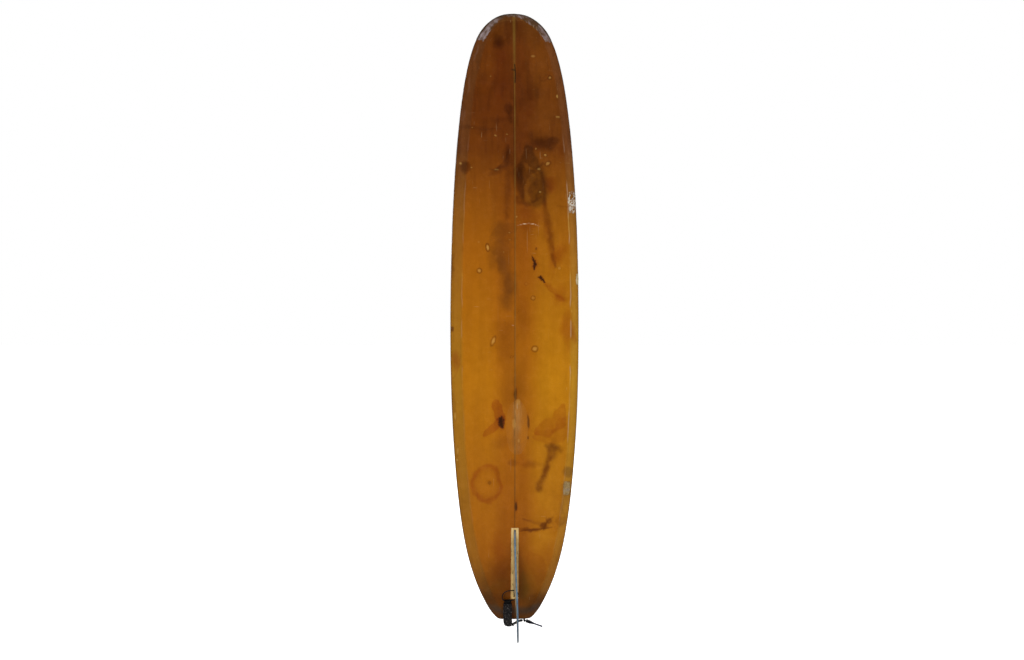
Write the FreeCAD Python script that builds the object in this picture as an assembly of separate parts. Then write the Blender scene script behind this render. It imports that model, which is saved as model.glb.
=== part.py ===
# Longboard surfboard: two shaped foam halves glued to a stringer, a bottom
# laminate lapped round the rails, a deck laminate lapped back over it onto the
# bottom, a fin box with a raked fin, glass repair patches, and the board end of
# a leash hung from a hole in the fin.
# Millimetres.  The board stands on its tail: +Z runs tail to nose, -Y points
# out of the bottom (the fin side), +Y out of the deck, +X across to the right.
# A station is the distance from the tail end.  Pieces are built with the tail
# end at z = 0 and moved by (0, BASE_Y, BASE_Z) as they are saved.
import FreeCAD, Part
import math
import os

Vector = FreeCAD.Vector
AXIS_X, AXIS_Y, AXIS_Z = Vector(1, 0, 0), Vector(0, 1, 0), Vector(0, 0, 1)
os.makedirs("parts", exist_ok=True)

# ------------------------------------------------------------ board sizes
LENGTH = 2788.0          # overall, tail end to nose end
BASE_Y = 40.9            # shift that centres the depth on the origin
BASE_Z = 39.8            # tail end above the lowest point of the hanging leash
TAIL_ROCKER, TAIL_POWER = 60.0, 2.6
NOSE_ROCKER, NOSE_POWER = 95.0, 2.8
ROCKER_MID = 1310.0      # station of the lowest rocker point
APEX = 0.40              # rail apex height as a share of the thickness
BELLY = 3.0              # slight roll across the bottom
RAIL_R = 0.22            # rail radius as a share of the thickness
FAN_TAIL, FAN_NOSE = 60.0, 140.0   # stringer stations, from each end, the ends fan out from
# (station, half width)
OUTLINE = [
    (0.0, 0.0), (0.5, 30.0), (1.7, 55.0), (4.6, 72.0), (9.5, 80.0), (17.0, 87.8),
    (26.0, 95.8), (40.0, 107.0), (60.0, 120.0), (80.0, 131.0), (100.0, 141.0),
    (150.0, 163.9), (200.0, 183.0), (250.0, 199.0), (300.0, 212.6), (400.0, 233.4),
    (500.0, 248.6), (600.0, 260.2), (700.0, 269.2), (800.0, 276.3), (900.0, 282.0),
    (1000.0, 286.3), (1100.0, 289.3), (1200.0, 291.2), (1300.0, 292.0), (1400.0, 292.0),
    (1500.0, 291.3), (1600.0, 289.7), (1700.0, 287.3), (1800.0, 284.1), (1900.0, 279.9),
    (2000.0, 274.6), (2100.0, 267.9), (2200.0, 259.7), (2300.0, 249.5), (2400.0, 236.8),
    (2500.0, 220.0), (2550.0, 209.0), (2600.0, 195.6), (2650.0, 178.2), (2680.0, 164.6),
    (2700.0, 153.3), (2720.0, 139.0), (2740.0, 120.6), (2755.0, 103.0), (2765.0, 88.6),
    (2775.0, 70.0), (2782.0, 51.0), (2786.5, 25.0), (LENGTH, 0.0)]
# (station, thickness)
THICKNESS = [
    (0.0, 26.0), (60.0, 30.0), (150.0, 37.0), (305.0, 49.0), (600.0, 65.0),
    (1000.0, 74.0), (1310.0, 76.0), (1700.0, 74.0), (2100.0, 66.0), (2483.0, 49.5),
    (2640.0, 40.0), (LENGTH, 27.0)]
PLY = 0.9                # one laminate ply with its resin
LAP_RIGHT, LAP_LEFT = 40.0, 52.0   # deck glass lapped onto the bottom
DECK_LAP = 45.0          # bottom glass lapped onto the deck
END_LAP = 45.0           # either lap at the tail and nose
STRINGER = 6.5           # stringer thickness
FAR_BOTTOM, FAR_DECK = -600.0, 400.0   # y well clear of the board on each side
PATCH = 0.8              # repair glass stands this proud
# oval repairs on the bottom: (centre x, station, half width, half length, squareness)
OVAL_REPAIRS = {
    "bottom_repair_patch": (9, 886, 52, 130, 2.2),
    "rail_repair_front": (268, 1886, 20, 66, 3.5),
    "rail_repair_mid": (283.5, 1556, 8, 34, 2.4),
    "rail_repair_rear": (236, 607, 20, 38, 5.0)}


# ------------------------------------------------------------ curve helpers
def solve_tridiagonal(below, diagonal, above, right):
    """Solve in place; below, diagonal and above are the three bands."""
    count = len(right)
    for i in range(1, count):
        factor = below[i] / diagonal[i - 1]
        diagonal[i] -= factor * above[i - 1]
        right[i] -= factor * right[i - 1]
    out = [0.0] * count
    out[-1] = right[-1] / diagonal[-1]
    for i in range(count - 2, -1, -1):
        out[i] = (right[i] - above[i] * out[i + 1]) / diagonal[i]
    return out


class Spline:
    """Cubic through (knot, value); end slopes given, or None for a natural end."""

    def __init__(self, knots, values, start_slope=None, end_slope=None):
        count = len(knots)
        gaps = [knots[i + 1] - knots[i] for i in range(count - 1)]
        rises = [(values[i + 1] - values[i]) / gaps[i] for i in range(count - 1)]
        below, diagonal, above, right = ([0.0] * count for _ in range(4))
        diagonal[0] = diagonal[-1] = 1.0
        if start_slope is not None:
            diagonal[0], above[0] = 2 * gaps[0], gaps[0]
            right[0] = 6 * (rises[0] - start_slope)
        if end_slope is not None:
            below[-1], diagonal[-1] = gaps[-1], 2 * gaps[-1]
            right[-1] = 6 * (end_slope - rises[-1])
        for i in range(1, count - 1):
            below[i], above[i] = gaps[i - 1], gaps[i]
            diagonal[i] = 2 * (gaps[i - 1] + gaps[i])
            right[i] = 6 * (rises[i] - rises[i - 1])
        self.bends = solve_tridiagonal(below, diagonal, above, right)
        self.knots, self.values, self.gaps = knots, values, gaps

    def __call__(self, where):
        knots, values, bends = self.knots, self.values, self.bends
        where = min(max(where, knots[0]), knots[-1])
        k = max(i for i in range(len(knots) - 1) if knots[i] <= where)
        gap = self.gaps[k]
        before, after = (knots[k + 1] - where) / gap, (where - knots[k]) / gap
        bend = (before ** 3 - before) * bends[k] + (after ** 3 - after) * bends[k + 1]
        return before * values[k] + after * values[k + 1] + bend * gap * gap / 6


def control_values(line, even):
    """Clamped uniform cubic control values through line; even or odd past its ends."""
    count = len(line)
    below, diagonal, above = [1.0] * count, [4.0] * count, [1.0] * count
    right = [6 * value for value in line]
    if even:
        above[0] = below[-1] = 2.0
    else:
        diagonal[0], above[0], right[0] = 1.0, 0.0, line[0]
        diagonal[-1], below[-1], right[-1] = 1.0, 0.0, line[-1]
    inner = solve_tridiagonal(below, diagonal, above, right)
    first = [line[0], (2 * inner[0] + inner[1]) / 3]
    last = [(2 * inner[-1] + inner[-2]) / 3, line[-1]]
    return first + inner[1:-1] + last


def interpolated(points, closed=False):
    curve = Part.BSplineCurve()
    curve.interpolate(Points=points, PeriodicFlag=closed)
    return curve


def closed_wire(points):
    return Part.Wire([interpolated(points, closed=True).toShape()])


# ------------------------------------------------------------ solid helpers
def gather(solids):
    return solids[0] if len(solids) == 1 else Part.makeCompound(solids)


def without_slivers(shape, share=0.02):
    """The solids larger than a share of the largest one."""
    top = max(solid.Volume for solid in shape.Solids)
    return gather([solid for solid in shape.Solids if solid.Volume > share * top])


def save(name, shape):
    piece = gather(shape.Solids).copy()
    piece.translate(Vector(0, BASE_Y, BASE_Z))
    piece.exportStep("parts/%s.step" % name)


# ------------------------------------------------------------ board surface
chord = [0.0]            # running length along the outline points
for here, there in zip(OUTLINE, OUTLINE[1:]):
    chord.append(chord[-1] + math.hypot(there[0] - here[0], there[1] - here[1]))
outline_station = Spline(chord, [p[0] for p in OUTLINE], 0.0, 0.0)
outline_x = Spline(chord, [p[1] for p in OUTLINE], 1.0, -1.0)
thickness = Spline([p[0] for p in THICKNESS], [p[1] for p in THICKNESS])


def rocker(station):
    if station < ROCKER_MID:
        return TAIL_ROCKER * ((ROCKER_MID - station) / ROCKER_MID) ** TAIL_POWER
    return NOSE_ROCKER * ((station - ROCKER_MID) / (LENGTH - ROCKER_MID)) ** NOSE_POWER


def tail_rocker_slope(station):
    share = (ROCKER_MID - station) / ROCKER_MID
    return -TAIL_ROCKER * TAIL_POWER / ROCKER_MID * share ** (TAIL_POWER - 1)


def rail_line(u):
    """Outline point for u 0 (tail centre) to 1 (nose centre): (x, station)."""
    crowding = 0.75      # draws the samples towards both ends
    run = chord[-1] * (u - crowding * math.sin(2 * math.pi * u) / (2 * math.pi))
    return max(outline_x(run), 0.0), outline_station(run)


def spine(station):
    """Station on the stringer that a rail point at this station is joined to."""
    if station < 2 * FAN_TAIL:
        return FAN_TAIL + station * station / (4 * FAN_TAIL)
    from_nose = LENGTH - station
    if from_nose < 2 * FAN_NOSE:
        return LENGTH - FAN_NOSE - from_nose * from_nose / (4 * FAN_NOSE)
    return station


def skin(u, w):
    """Right half of the board's outer surface, x >= 0.  u: tail centre 0 to nose
    centre 1.  w: bottom stringer 0, rail apex 0.5, deck stringer 1."""
    if u < 0 or u > 1:
        x, y, z = skin(-u if u < 0 else 2 - u, w)
        return -x, y, z
    rail_x, rail_z = rail_line(u)
    root_z = spine(rail_z)
    reach = math.hypot(rail_x, rail_z - root_z)
    out = math.sin(math.pi * w)
    z = root_z + out * (rail_z - root_z)
    x = out * rail_x
    out = abs(out)
    share = APEX if w <= 0.5 else 1 - APEX
    power = 2 * RAIL_R * reach / (share ** 2 * thickness(rail_z))
    local = thickness(z)
    rise = share * local * (1 - math.sqrt(max(0.0, 1 - out ** power)))
    if w <= 0.5:
        y = rise + BELLY * out * out * (1 - out ** 8)
    else:
        y = local - rise
    return x, rocker(z) + y, z


def skin_normal(u, w, step=1e-3):
    """Unit normal of skin, pointing out of the board."""
    along = Vector(*skin(u + step, w)) - Vector(*skin(u - step, w))
    around = Vector(*skin(u, w + step)) - Vector(*skin(u, w - step))
    normal = along.cross(around)
    x, y, z = skin(u, w)
    if normal.Length < 1e-9:
        ahead = z + 1.0
        if w < 0.5:
            normal = Vector(0, -1, rocker(ahead) - rocker(z))
        else:
            rise = rocker(ahead) + thickness(ahead) - rocker(z) - thickness(z)
            normal = Vector(0, 1, -rise)
    normal.normalize()
    if abs(w - 0.5) < 0.25:
        outward = Vector(x, y, z) - Vector(x * 0.5, y, z * 0.5 + 0.5 * spine(z))
    else:
        outward = Vector(0, -1 if w < 0.5 else 1, 0)
    return normal if normal.dot(outward) > 0 else normal * -1


GRID_U, GRID_W = 76, 28  # surface spans along the rail and from bottom to deck


def skin_grid(offset):
    """Points of the skin moved outwards by offset, its rim held on x = 0."""
    rows = []
    for i in range(GRID_U + 1):
        row = []
        for j in range(GRID_W + 1):
            u, w = i / GRID_U, j / GRID_W
            x, y, z = skin(u, w)
            if offset:
                normal = skin_normal(u, w)
                x, y, z = x + normal.x * offset, y + normal.y * offset, z + normal.z * offset
            if i in (0, GRID_U) or j in (0, GRID_W):
                x = 0.0
            row.append([x, y, z])
        rows.append(row)
    return rows


def skin_surface(points):
    """Cubic B-spline surface through the grid, square to the x = 0 plane at its rim."""
    parts = []           # per coordinate, control values as [w][u]
    for k, even in ((0, False), (1, True), (2, True)):
        rows = [control_values([p[k] for p in row], even=False) for row in points]
        parts.append([control_values(list(column), even) for column in zip(*rows)])
    poles = [[Vector(*(part[j][i] for part in parts)) for j in range(len(parts[0]))]
             for i in range(len(parts[0][0]))]
    surface = Part.BSplineSurface()
    surface.buildFromPolesMultsKnots(
        poles, [4] + [1] * (GRID_U - 1) + [4], [4] + [1] * (GRID_W - 1) + [4],
        [float(i) for i in range(GRID_U + 1)], [float(i) for i in range(GRID_W + 1)],
        False, False, 3, 3)
    return surface


def board_solid(offset):
    """The whole board shape, grown (or shrunk) by offset."""
    right = Part.Face(skin_surface(skin_grid(offset)))
    left = right.mirror(Vector(0, 0, 0), AXIS_X)
    shell = Part.makeShell([right, left])
    shell.sewShape()
    # sewing may wrap the shell in a compound
    if shell.ShapeType != "Shell":
        shell = shell.Shells[0]
    solid = Part.Solid(shell)
    if solid.Volume < 0:
        solid.reverse()
    solid.fix(1e-4, 1e-4, 1e-3)
    return solid


# ------------------------------------------------------------ cutting shapes
def inset_outline(left, right, ends=END_LAP, count=72, spacing=4.0):
    """Closed curve in plan, inset from the rail by left, right and ends."""
    sides = []
    for side, lap in ((1, right), (-1, left)):
        row = []
        for i in range(count + 1):
            rail_x, rail_z = rail_line(i / count)
            root_z = spine(rail_z)
            reach = math.hypot(rail_x, rail_z - root_z)
            blend = min(1.0, rail_x / 120.0)
            blend = blend * blend * (3 - 2 * blend)
            inset = ends + (lap - ends) * blend
            share = 1 - min(inset, 0.62 * reach) / reach
            row.append((side * share * rail_x, root_z + share * (rail_z - root_z)))
        sides.append(row)
    ring = sides[0] + sides[1][-2:0:-1]
    kept = [ring[0]]
    for p in ring[1:]:
        if math.hypot(p[0] - kept[-1][0], p[1] - kept[-1][1]) > spacing:
            kept.append(p)
    if math.hypot(kept[0][0] - kept[-1][0], kept[0][1] - kept[-1][1]) < spacing:
        kept.pop()
    return closed_wire([Vector(x, 0, z) for x, z in kept])


def plan_oval(centre_x, station, half_width, half_length, power, count=28):
    """Superellipse in plan; a higher power is squarer."""
    points = []
    for i in range(count):
        angle = 2 * math.pi * i / count
        cos, sin = math.cos(angle), math.sin(angle)
        radius = 1.0 / (abs(cos) ** power + abs(sin) ** power) ** (1 / power)
        points.append(Vector(centre_x + half_width * radius * cos, 0,
                             station + half_length * radius * sin))
    return closed_wire(points)


def prism(wire):
    """Plan wire carried right through the board."""
    face = Part.Face(wire)
    face.translate(Vector(0, FAR_BOTTOM, 0))
    return face.extrude(Vector(0, FAR_DECK - FAR_BOTTOM, 0))


def half_space(far):
    """Everything from the board's mid sheet, which follows the rocker, to y = far."""
    points = []
    for i in range(13):
        z = -40 + (LENGTH + 80) * i / 12
        station = min(max(z, 0.0), LENGTH)
        points.append(Vector(0, rocker(station) + 0.45 * thickness(station), z))
    start, end = points[0], points[-1]
    far_start, far_end = Vector(0, far, start.z), Vector(0, far, end.z)
    face = Part.Face(Part.Wire([
        interpolated(points).toShape(), Part.makeLine(end, far_end),
        Part.makeLine(far_end, far_start), Part.makeLine(far_start, start)]))
    face.translate(Vector(-400, 0, 0))
    return face.extrude(Vector(800, 0, 0))


def lengthwise_box(x_min, width):
    """Box longer and deeper than the board."""
    return Part.makeBox(width, 900, LENGTH + 400, Vector(x_min, -300, -200))


outer = board_solid(0.0)
middle = board_solid(-PLY)       # between the two plies
inner = board_solid(-2 * PLY)    # foam surface
proud = board_solid(PATCH)
bottom_half = half_space(FAR_BOTTOM)
deck_half = half_space(FAR_DECK)
lap_bottom = prism(inset_outline(LAP_LEFT, LAP_RIGHT)).common(bottom_half)
lap_deck = prism(inset_outline(DECK_LAP, DECK_LAP)).common(deck_half)

# ------------------------------------------------------------ fin frame
# Fin frame: x across, back = -y = distance back from the fin's front,
# out = z = distance out of the bottom at the box.
BOX_CENTRE = 264.0       # station of the box centre
FIN_BACK = 157.0         # box centre behind the front of the fin
slope = math.atan(-tail_rocker_slope(BOX_CENTRE))
to_nose = Vector(0, -math.sin(slope), math.cos(slope))
outward = Vector(0, -math.cos(slope), -math.sin(slope))
fin_origin = Vector(0, rocker(BOX_CENTRE), BOX_CENTRE) + to_nose * FIN_BACK
fin_matrix = FreeCAD.Matrix(1, 0, 0, fin_origin.x,
                            0, to_nose.y, outward.y, fin_origin.y,
                            0, to_nose.z, outward.z, fin_origin.z,
                            0, 0, 0, 1)


def from_fin(shape):
    return shape.transformed(fin_matrix)


def fin_to_board(back, x, out):
    return fin_matrix.multVec(Vector(x, -back, out))


def block(width, back_min, back_max, out_min, out_max):
    """Fin-frame box centred across x."""
    return Part.makeBox(width, back_max - back_min, out_max - out_min,
                        Vector(-width / 2, -back_max, out_min))


# ------------------------------------------------------------ fin box
BOX_LEN, BOX_W, BOX_BODY, BOX_DEEP, BOX_FLANGE = 330.0, 35.0, 24.0, 25.0, 5.0
BOX_TOP = 12.0           # above the bottom, before trimming to the board
SLOT_W, SLOT_LEN, SLOT_DEEP = 9.8, 314.0, 20.5
SLOT_TOP = 14.0
TRACK_W, TRACK_FLOOR, TRACK_TOP = 13.2, -17.6, -13.0   # undercut along the slot
BED = 1.5                # resin bed round the box


def flanged_block(margin, body_top):
    """T-section block the size of the box plus margin."""
    front = FIN_BACK - BOX_LEN / 2 - margin
    rear = FIN_BACK + BOX_LEN / 2 + margin
    flange = block(BOX_W + 2 * margin, front, rear, -BOX_FLANGE - margin, BOX_TOP)
    body = block(BOX_BODY + 2 * margin, front, rear, -BOX_DEEP - margin, body_top)
    return flange.fuse(body).removeSplitter()


def make_fin_box(box):
    front, rear = FIN_BACK - SLOT_LEN / 2, FIN_BACK + SLOT_LEN / 2
    slot = block(SLOT_W, front, rear, -SLOT_DEEP, SLOT_TOP)
    track = block(TRACK_W, front, rear, TRACK_FLOOR, TRACK_TOP)
    return without_slivers(box.common(outer).cut(from_fin(slot)).cut(from_fin(track)))


fin_box = from_fin(flanged_block(0.0, -BOX_FLANGE + 0.5))
bed = from_fin(flanged_block(BED, -BOX_FLANGE))


# ------------------------------------------------------------ laminate and core
def make_bottom_glass():
    """Both plies inside the lap line, the inner ply round the rails."""
    core = middle.fuse(outer.common(lap_bottom))
    return without_slivers(core.cut(inner).cut(lap_deck).cut(bed))


def make_deck_glass():
    """Both plies on the deck, the outer ply round the rails and onto the bottom."""
    return without_slivers(outer.cut(lap_bottom).cut(middle.cut(lap_deck)).cut(inner))


def make_core_piece(x_min, width):
    """Slice of the core between two lengthwise planes, routed for the fin box."""
    return without_slivers(inner.common(lengthwise_box(x_min, width)).cut(bed))


# ------------------------------------------------------------ repairs
patch_skin = proud.cut(outer)


def make_nose_cloth():
    """Strip of cloth wrapped round the nose rim."""
    inside = prism(inset_outline(left=26, right=30, ends=22.0))
    zone = Part.makeBox(700, 900, 260, Vector(-350, -300, 2660.0))
    return without_slivers(patch_skin.common(zone).cut(inside))


def make_oval_repair(oval):
    return without_slivers(patch_skin.common(prism(plan_oval(*oval)).common(bottom_half)))


# ------------------------------------------------------------ fin
FIN_T = 8.4              # fin thickness
FIN_CLEAR = 0.8          # blade foot above the box plane
FIN_ROUND = 2.6          # rounding of the blade's rim
BEAD = 9.0               # width of the resin bead along the fin's edge
TAB_T = 9.5              # fin tab thickness in the slot
TAB_FRONT, TAB_REAR, TAB_FLOOR = 1.0, 287.0, -12.0
TONGUE_REAR, TONGUE_TOP = 306.0, -5.5
LEASH_HOLE, LEASH_HOLE_R = (277.0, 13.0), 4.2   # (back, out) and radius
SCREW_BACK = 299.0
# blade edges: (back, out above the blade foot)
LEADING = [
    (0.0, 0.0), (22.0, 7.0), (60.0, 22.5), (105.0, 48.0), (150.0, 82.0), (190.0, 119.0),
    (222.0, 152.0), (258.0, 187.0), (300.0, 217.0), (345.0, 238.0), (385.0, 249.0),
    (412.0, 253.5)]
TRAILING = [
    (420.0, 249.5), (410.0, 240.0), (388.0, 219.0), (362.0, 187.0), (338.0, 148.0),
    (318.0, 105.0), (303.0, 58.0), (294.0, 22.0), (291.0, 0.0)]
TIP_MIDDLE = (418.6, 252.9)


def blade_point(point):
    back, out = point
    return Vector(0, -back, out + FIN_CLEAR)


def blade_curve(points):
    return interpolated([blade_point(p) for p in points])


def make_blade_face():
    tip = Part.Arc(blade_point(LEADING[-1]), blade_point(TIP_MIDDLE), blade_point(TRAILING[0]))
    foot = Part.makeLine(blade_point(TRAILING[-1]), blade_point(LEADING[0]))
    return Part.Face(Part.Wire([blade_curve(LEADING).toShape(), tip.toShape(),
                                blade_curve(TRAILING).toShape(), foot]))


def offset_line(points, distance, count=40):
    """Blade curve moved sideways, sampled."""
    curve = blade_curve(points)
    first, last = curve.FirstParameter, curve.LastParameter
    line = []
    for i in range(count + 1):
        where = first + (last - first) * i / count
        tangent = curve.tangent(where)[0]
        line.append(curve.value(where) + Vector(0, -tangent.z, tangent.y) * distance)
    return line


def last_crossing(front, rear):
    """Segment numbers and point where two sampled lines cross."""
    found = None
    for i in range(len(front) - 1):
        for j in range(len(rear) - 1):
            run, other = front[i + 1] - front[i], rear[j + 1] - rear[j]
            between = rear[j] - front[i]
            cross = run.y * other.z - run.z * other.y
            if abs(cross) < 1e-9:
                continue
            on_front = (between.y * other.z - between.z * other.y) / cross
            on_rear = (between.y * run.z - between.z * run.y) / cross
            if 0 <= on_front <= 1 and 0 <= on_rear <= 1:
                found = (i, j, front[i] + run * on_front)
    return found


def carried_to_foot(end, before):
    """The line from before through end, carried down to the blade foot."""
    share = (end.z - FIN_CLEAR) / max(1e-6, before.z - end.z)
    point = end + (end - before) * share
    point.z = FIN_CLEAR
    return point


def closed_off(points, end):
    """Points with end added, unless they already stop there."""
    return points + ([end] if (points[-1] - end).Length > 0.5 else [])


def make_panel_face(inset):
    """Outline of the fin panel inside the bead."""
    front, rear = offset_line(LEADING, inset), offset_line(TRAILING, inset)
    i, j, peak = last_crossing(front, rear)
    front = [p for p in front[:i + 1] if p.z > FIN_CLEAR] + [peak]
    rear = [peak] + [p for p in rear[j + 1:] if p.z > FIN_CLEAR]
    front_foot = carried_to_foot(front[0], front[1])
    rear_foot = carried_to_foot(rear[-1], rear[-2])
    rise = interpolated([front_foot] + closed_off(front[1::2], peak)).toShape()
    fall = interpolated([peak] + closed_off(rear[2::2], rear_foot)).toShape()
    foot = Part.makeLine(fall.Vertexes[-1].Point, rise.Vertexes[0].Point)
    return Part.Face(Part.Wire([rise, fall, foot]))


def slab_of(face, width):
    moved = face.copy()
    moved.translate(Vector(-width / 2, 0, 0))
    return moved.extrude(Vector(width, 0, 0))


def make_blade():
    blade = slab_of(make_blade_face(), FIN_T)
    # the rim edges may refuse the rounding; the blade then keeps its square edge
    try:
        rim = [edge for edge in blade.Edges
               if edge.BoundBox.XLength < 0.01 and edge.BoundBox.ZMax > 20]
        rounded = blade.makeFillet(FIN_ROUND, rim)
        if rounded.isValid() and rounded.Volume > 0.8 * blade.Volume:
            blade = rounded
    except Exception:
        pass
    return blade


def screw_cylinder(radius, height, out):
    return Part.makeCylinder(radius, height, Vector(0, -SCREW_BACK, out), AXIS_Z)


def make_fin():
    """The fin panel with its tab, and the bead round its edge."""
    blade = make_blade()
    inside = slab_of(make_panel_face(BEAD), FIN_T + 4)
    bead = without_slivers(blade.cut(inside))
    panel = without_slivers(blade.common(inside))
    tab = block(TAB_T, TAB_FRONT, TAB_REAR, TAB_FLOOR, FIN_CLEAR + 0.01)
    # trims the front of the tab's top where it lies outside the panel
    relief = block(TAB_T + 2, -2, BEAD + 12, 0.0, FIN_CLEAR + 6).cut(inside)
    tongue = block(TAB_T, TAB_REAR, TONGUE_REAR, TAB_FLOOR, TONGUE_TOP)
    panel = panel.fuse(tab.cut(relief)).fuse(tongue)
    hole = Part.makeCylinder(LEASH_HOLE_R, 40, Vector(-20, -LEASH_HOLE[0], LEASH_HOLE[1]), AXIS_X)
    panel = panel.cut(hole).cut(screw_cylinder(2.8, 40, -20)).removeSplitter()
    bead = bead.cut(tab).cut(hole)
    return without_slivers(panel), without_slivers(bead)


def make_fin_screw():
    """Screw with a slotted cylindrical head."""
    shank = screw_cylinder(2.45, 15.6, -20.0)
    head = screw_cylinder(4.3, 2.8, -5.4)
    drive = block(10, SCREW_BACK - 0.6, SCREW_BACK + 0.6, -3.9, -2.5)
    return shank.fuse(head).removeSplitter().cut(drive)


def make_fin_plate():
    """Plate in the box track that the screw bites."""
    plate = block(12.8, SCREW_BACK - 4.5, SCREW_BACK + 4.5, -17.3, -13.3)
    return plate.cut(screw_cylinder(2.5, 12, -22))


# ------------------------------------------------------------ leash string
STRING_R = 2.2
KNOT_R = 4.9
HEM_BACK, HEM_OUT = 326.0, 9.4     # axis of the webbing hem the string runs through
# where the string's ends are knotted, and the string's direction there: (back, x, out)
KNOT, KNOT_DIR = (303.0, 11.6, 13.3), (-0.92, 0.38, 0.065)


def knot_point(distance):
    size = math.sqrt(sum(part * part for part in KNOT_DIR))
    return tuple(c + part / size * distance for c, part in zip(KNOT, KNOT_DIR))


# fin frame (back, x, out): from the knot, through the fin hole and the hem, and back
STRING = [
    knot_point(1.2), knot_point(2.6), knot_point(5.2),
    (291.0, 14.6, 13.6), (284.2, 10.6, 13.3), (277.9, 3.2, 13.0), (276.6, -5.0, 13.2),
    (276.8, -16.0, 13.8), (278.5, -29.0, 13.8), (284.5, -44.0, 13.0), (295.0, -53.5, 11.8),
    (307.5, -57.0, 10.8), (319.0, -54.0, 9.9), (325.0, -46.5, 9.5),
    (HEM_BACK, -38.0, HEM_OUT), (HEM_BACK, -26.0, HEM_OUT),
    (325.4, -16.5, 9.5), (322.2, -7.0, 10.2), (316.8, 2.6, 11.7),
    knot_point(-5.2), knot_point(-2.6), knot_point(-1.2)]


def make_leash_string(count=40, ring_count=8):
    """Cord lofted through rings carried along the path without twist."""
    path = interpolated([fin_to_board(*p) for p in STRING])
    first, last = path.FirstParameter, path.LastParameter
    length = path.length()
    rings, side = [], Vector(0, 0, 1)
    for i in range(count + 1):
        if 0 < i < count:
            where = path.parameterAtDistance(length * i / count, first)
        else:
            where = first if i == 0 else last
        centre, tangent = path.value(where), path.tangent(where)[0]
        side = side - tangent * side.dot(tangent)
        side.normalize()
        up = tangent.cross(side)
        ring = []
        for j in range(ring_count):
            angle = 2 * math.pi * j / ring_count
            ring.append(centre + side * (STRING_R * math.cos(angle))
                        + up * (STRING_R * math.sin(angle)))
        rings.append(closed_wire(ring))
    return without_slivers(Part.makeLoft(rings, True, False))


def make_string_knot():
    centre = fin_to_board(*KNOT)
    axis = fin_to_board(*knot_point(5)) - fin_to_board(*knot_point(-5))
    axis.normalize()
    bore = Part.makeCylinder(STRING_R, 20, centre - axis * 10, axis)
    return Part.makeSphere(KNOT_R, centre).cut(bore)


# ------------------------------------------------------------ rail saver
STRAP_X = -32.0          # centre line of the webbing along the board
STRAP_LOW, STRAP_HIGH = 6.0, 92.0   # stations of the straight line it is laid along
HEM_LEN, HEM_R, HEM_BORE_R = 31.0, 6.6, 3.3
FLARE_LEN, FLARE_R = 8.0, 5.4       # widened ends of the hem bore
PIVOT = Vector(46.5, 71.0, -5.5)    # swivel pivot
PIN_R = 1.95
PIN_BORE_R = 2.0


def strap_y(station, gap):
    """Depth of a straight line laid along the bottom near the tail, gap off the skin."""
    share = (station - STRAP_LOW) / (STRAP_HIGH - STRAP_LOW)
    return rocker(STRAP_LOW) * (1 - share) + rocker(STRAP_HIGH) * share - gap


# straight runs: (x, station, gap off the skin, width, thickness)
STRAP_RUN = [
    (STRAP_X, 91, 7.3, 31, 4.6), (STRAP_X, 87, 7.1, 32, 4.8), (STRAP_X, 80, 6.8, 39, 5.0),
    (STRAP_X, 72, 6.3, 40, 5.0), (STRAP_X, 50, 5.4, 40, 5.0), (STRAP_X, 28, 5.0, 40, 5.0)]
FLAP_RUN = [
    (STRAP_X, 76, 10.15, 36, 1.6), (STRAP_X, 50, 8.85, 37, 1.6),
    (STRAP_X, 28, 8.45, 37, 1.6), (-31.7, 9, 8.4, 37, 1.6)]
# the bend past the tail: (centre, direction, width direction, width, thickness)
STRAP_BEND = [
    ((-31.5, strap_y(6, 4.8), 6), (0.03, 0.15, -1), (1, 0, 0), 40, 5.0),
    ((-28.5, 61.0, -11.5), (0.30, 0.30, -0.9), (1, -0.1, 0.35), 38, 5.0),
    ((-17.5, 66.0, -21.5), (0.88, 0.25, -0.32), (0.40, -0.80, 0.40), 35, 5.0),
    ((-2.0, 69.5, -20.5), (0.93, 0.05, 0.36), (0, -1, 0.08), 32, 5.0),
    ((13.0, 71.0, -12.6), (0.90, 0, 0.43), (0, -1, 0), 29, 5.0),
    ((28.0, 71.0, -7.6), (0.98, 0, 0.18), (0, -1, 0), 26, 4.8),
    ((43.0, 71.0, -6.0), (0.99, 0, 0.06), (0, -1, 0), 24, 4.6)]


def strap_section(centre, direction, across, width, thick):
    """Rectangle square to direction, its width nearest to across."""
    direction, across, centre = Vector(*direction), Vector(*across), Vector(*centre)
    direction.normalize()
    across = across - direction * across.dot(direction)
    across.normalize()
    normal = direction.cross(across)
    corners = [centre + across * (width / 2 * i) + normal * (thick / 2 * j)
               for i, j in ((1, 1), (-1, 1), (-1, -1), (1, -1))]
    return Part.makePolygon(corners + [corners[0]])


def run_sections(rows):
    along = (0, strap_y(STRAP_LOW, 0) - strap_y(STRAP_HIGH, 0), STRAP_LOW - STRAP_HIGH)
    return [strap_section((x, strap_y(station, gap), station), along, (1, 0, 0), width, thick)
            for x, station, gap, width, thick in rows]


def pivot_cylinder(radius, height, start):
    """Cylinder along +Y on the pivot axis, starting at start from the pivot."""
    return Part.makeCylinder(radius, height, PIVOT + Vector(0, start, 0), AXIS_Y)


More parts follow.
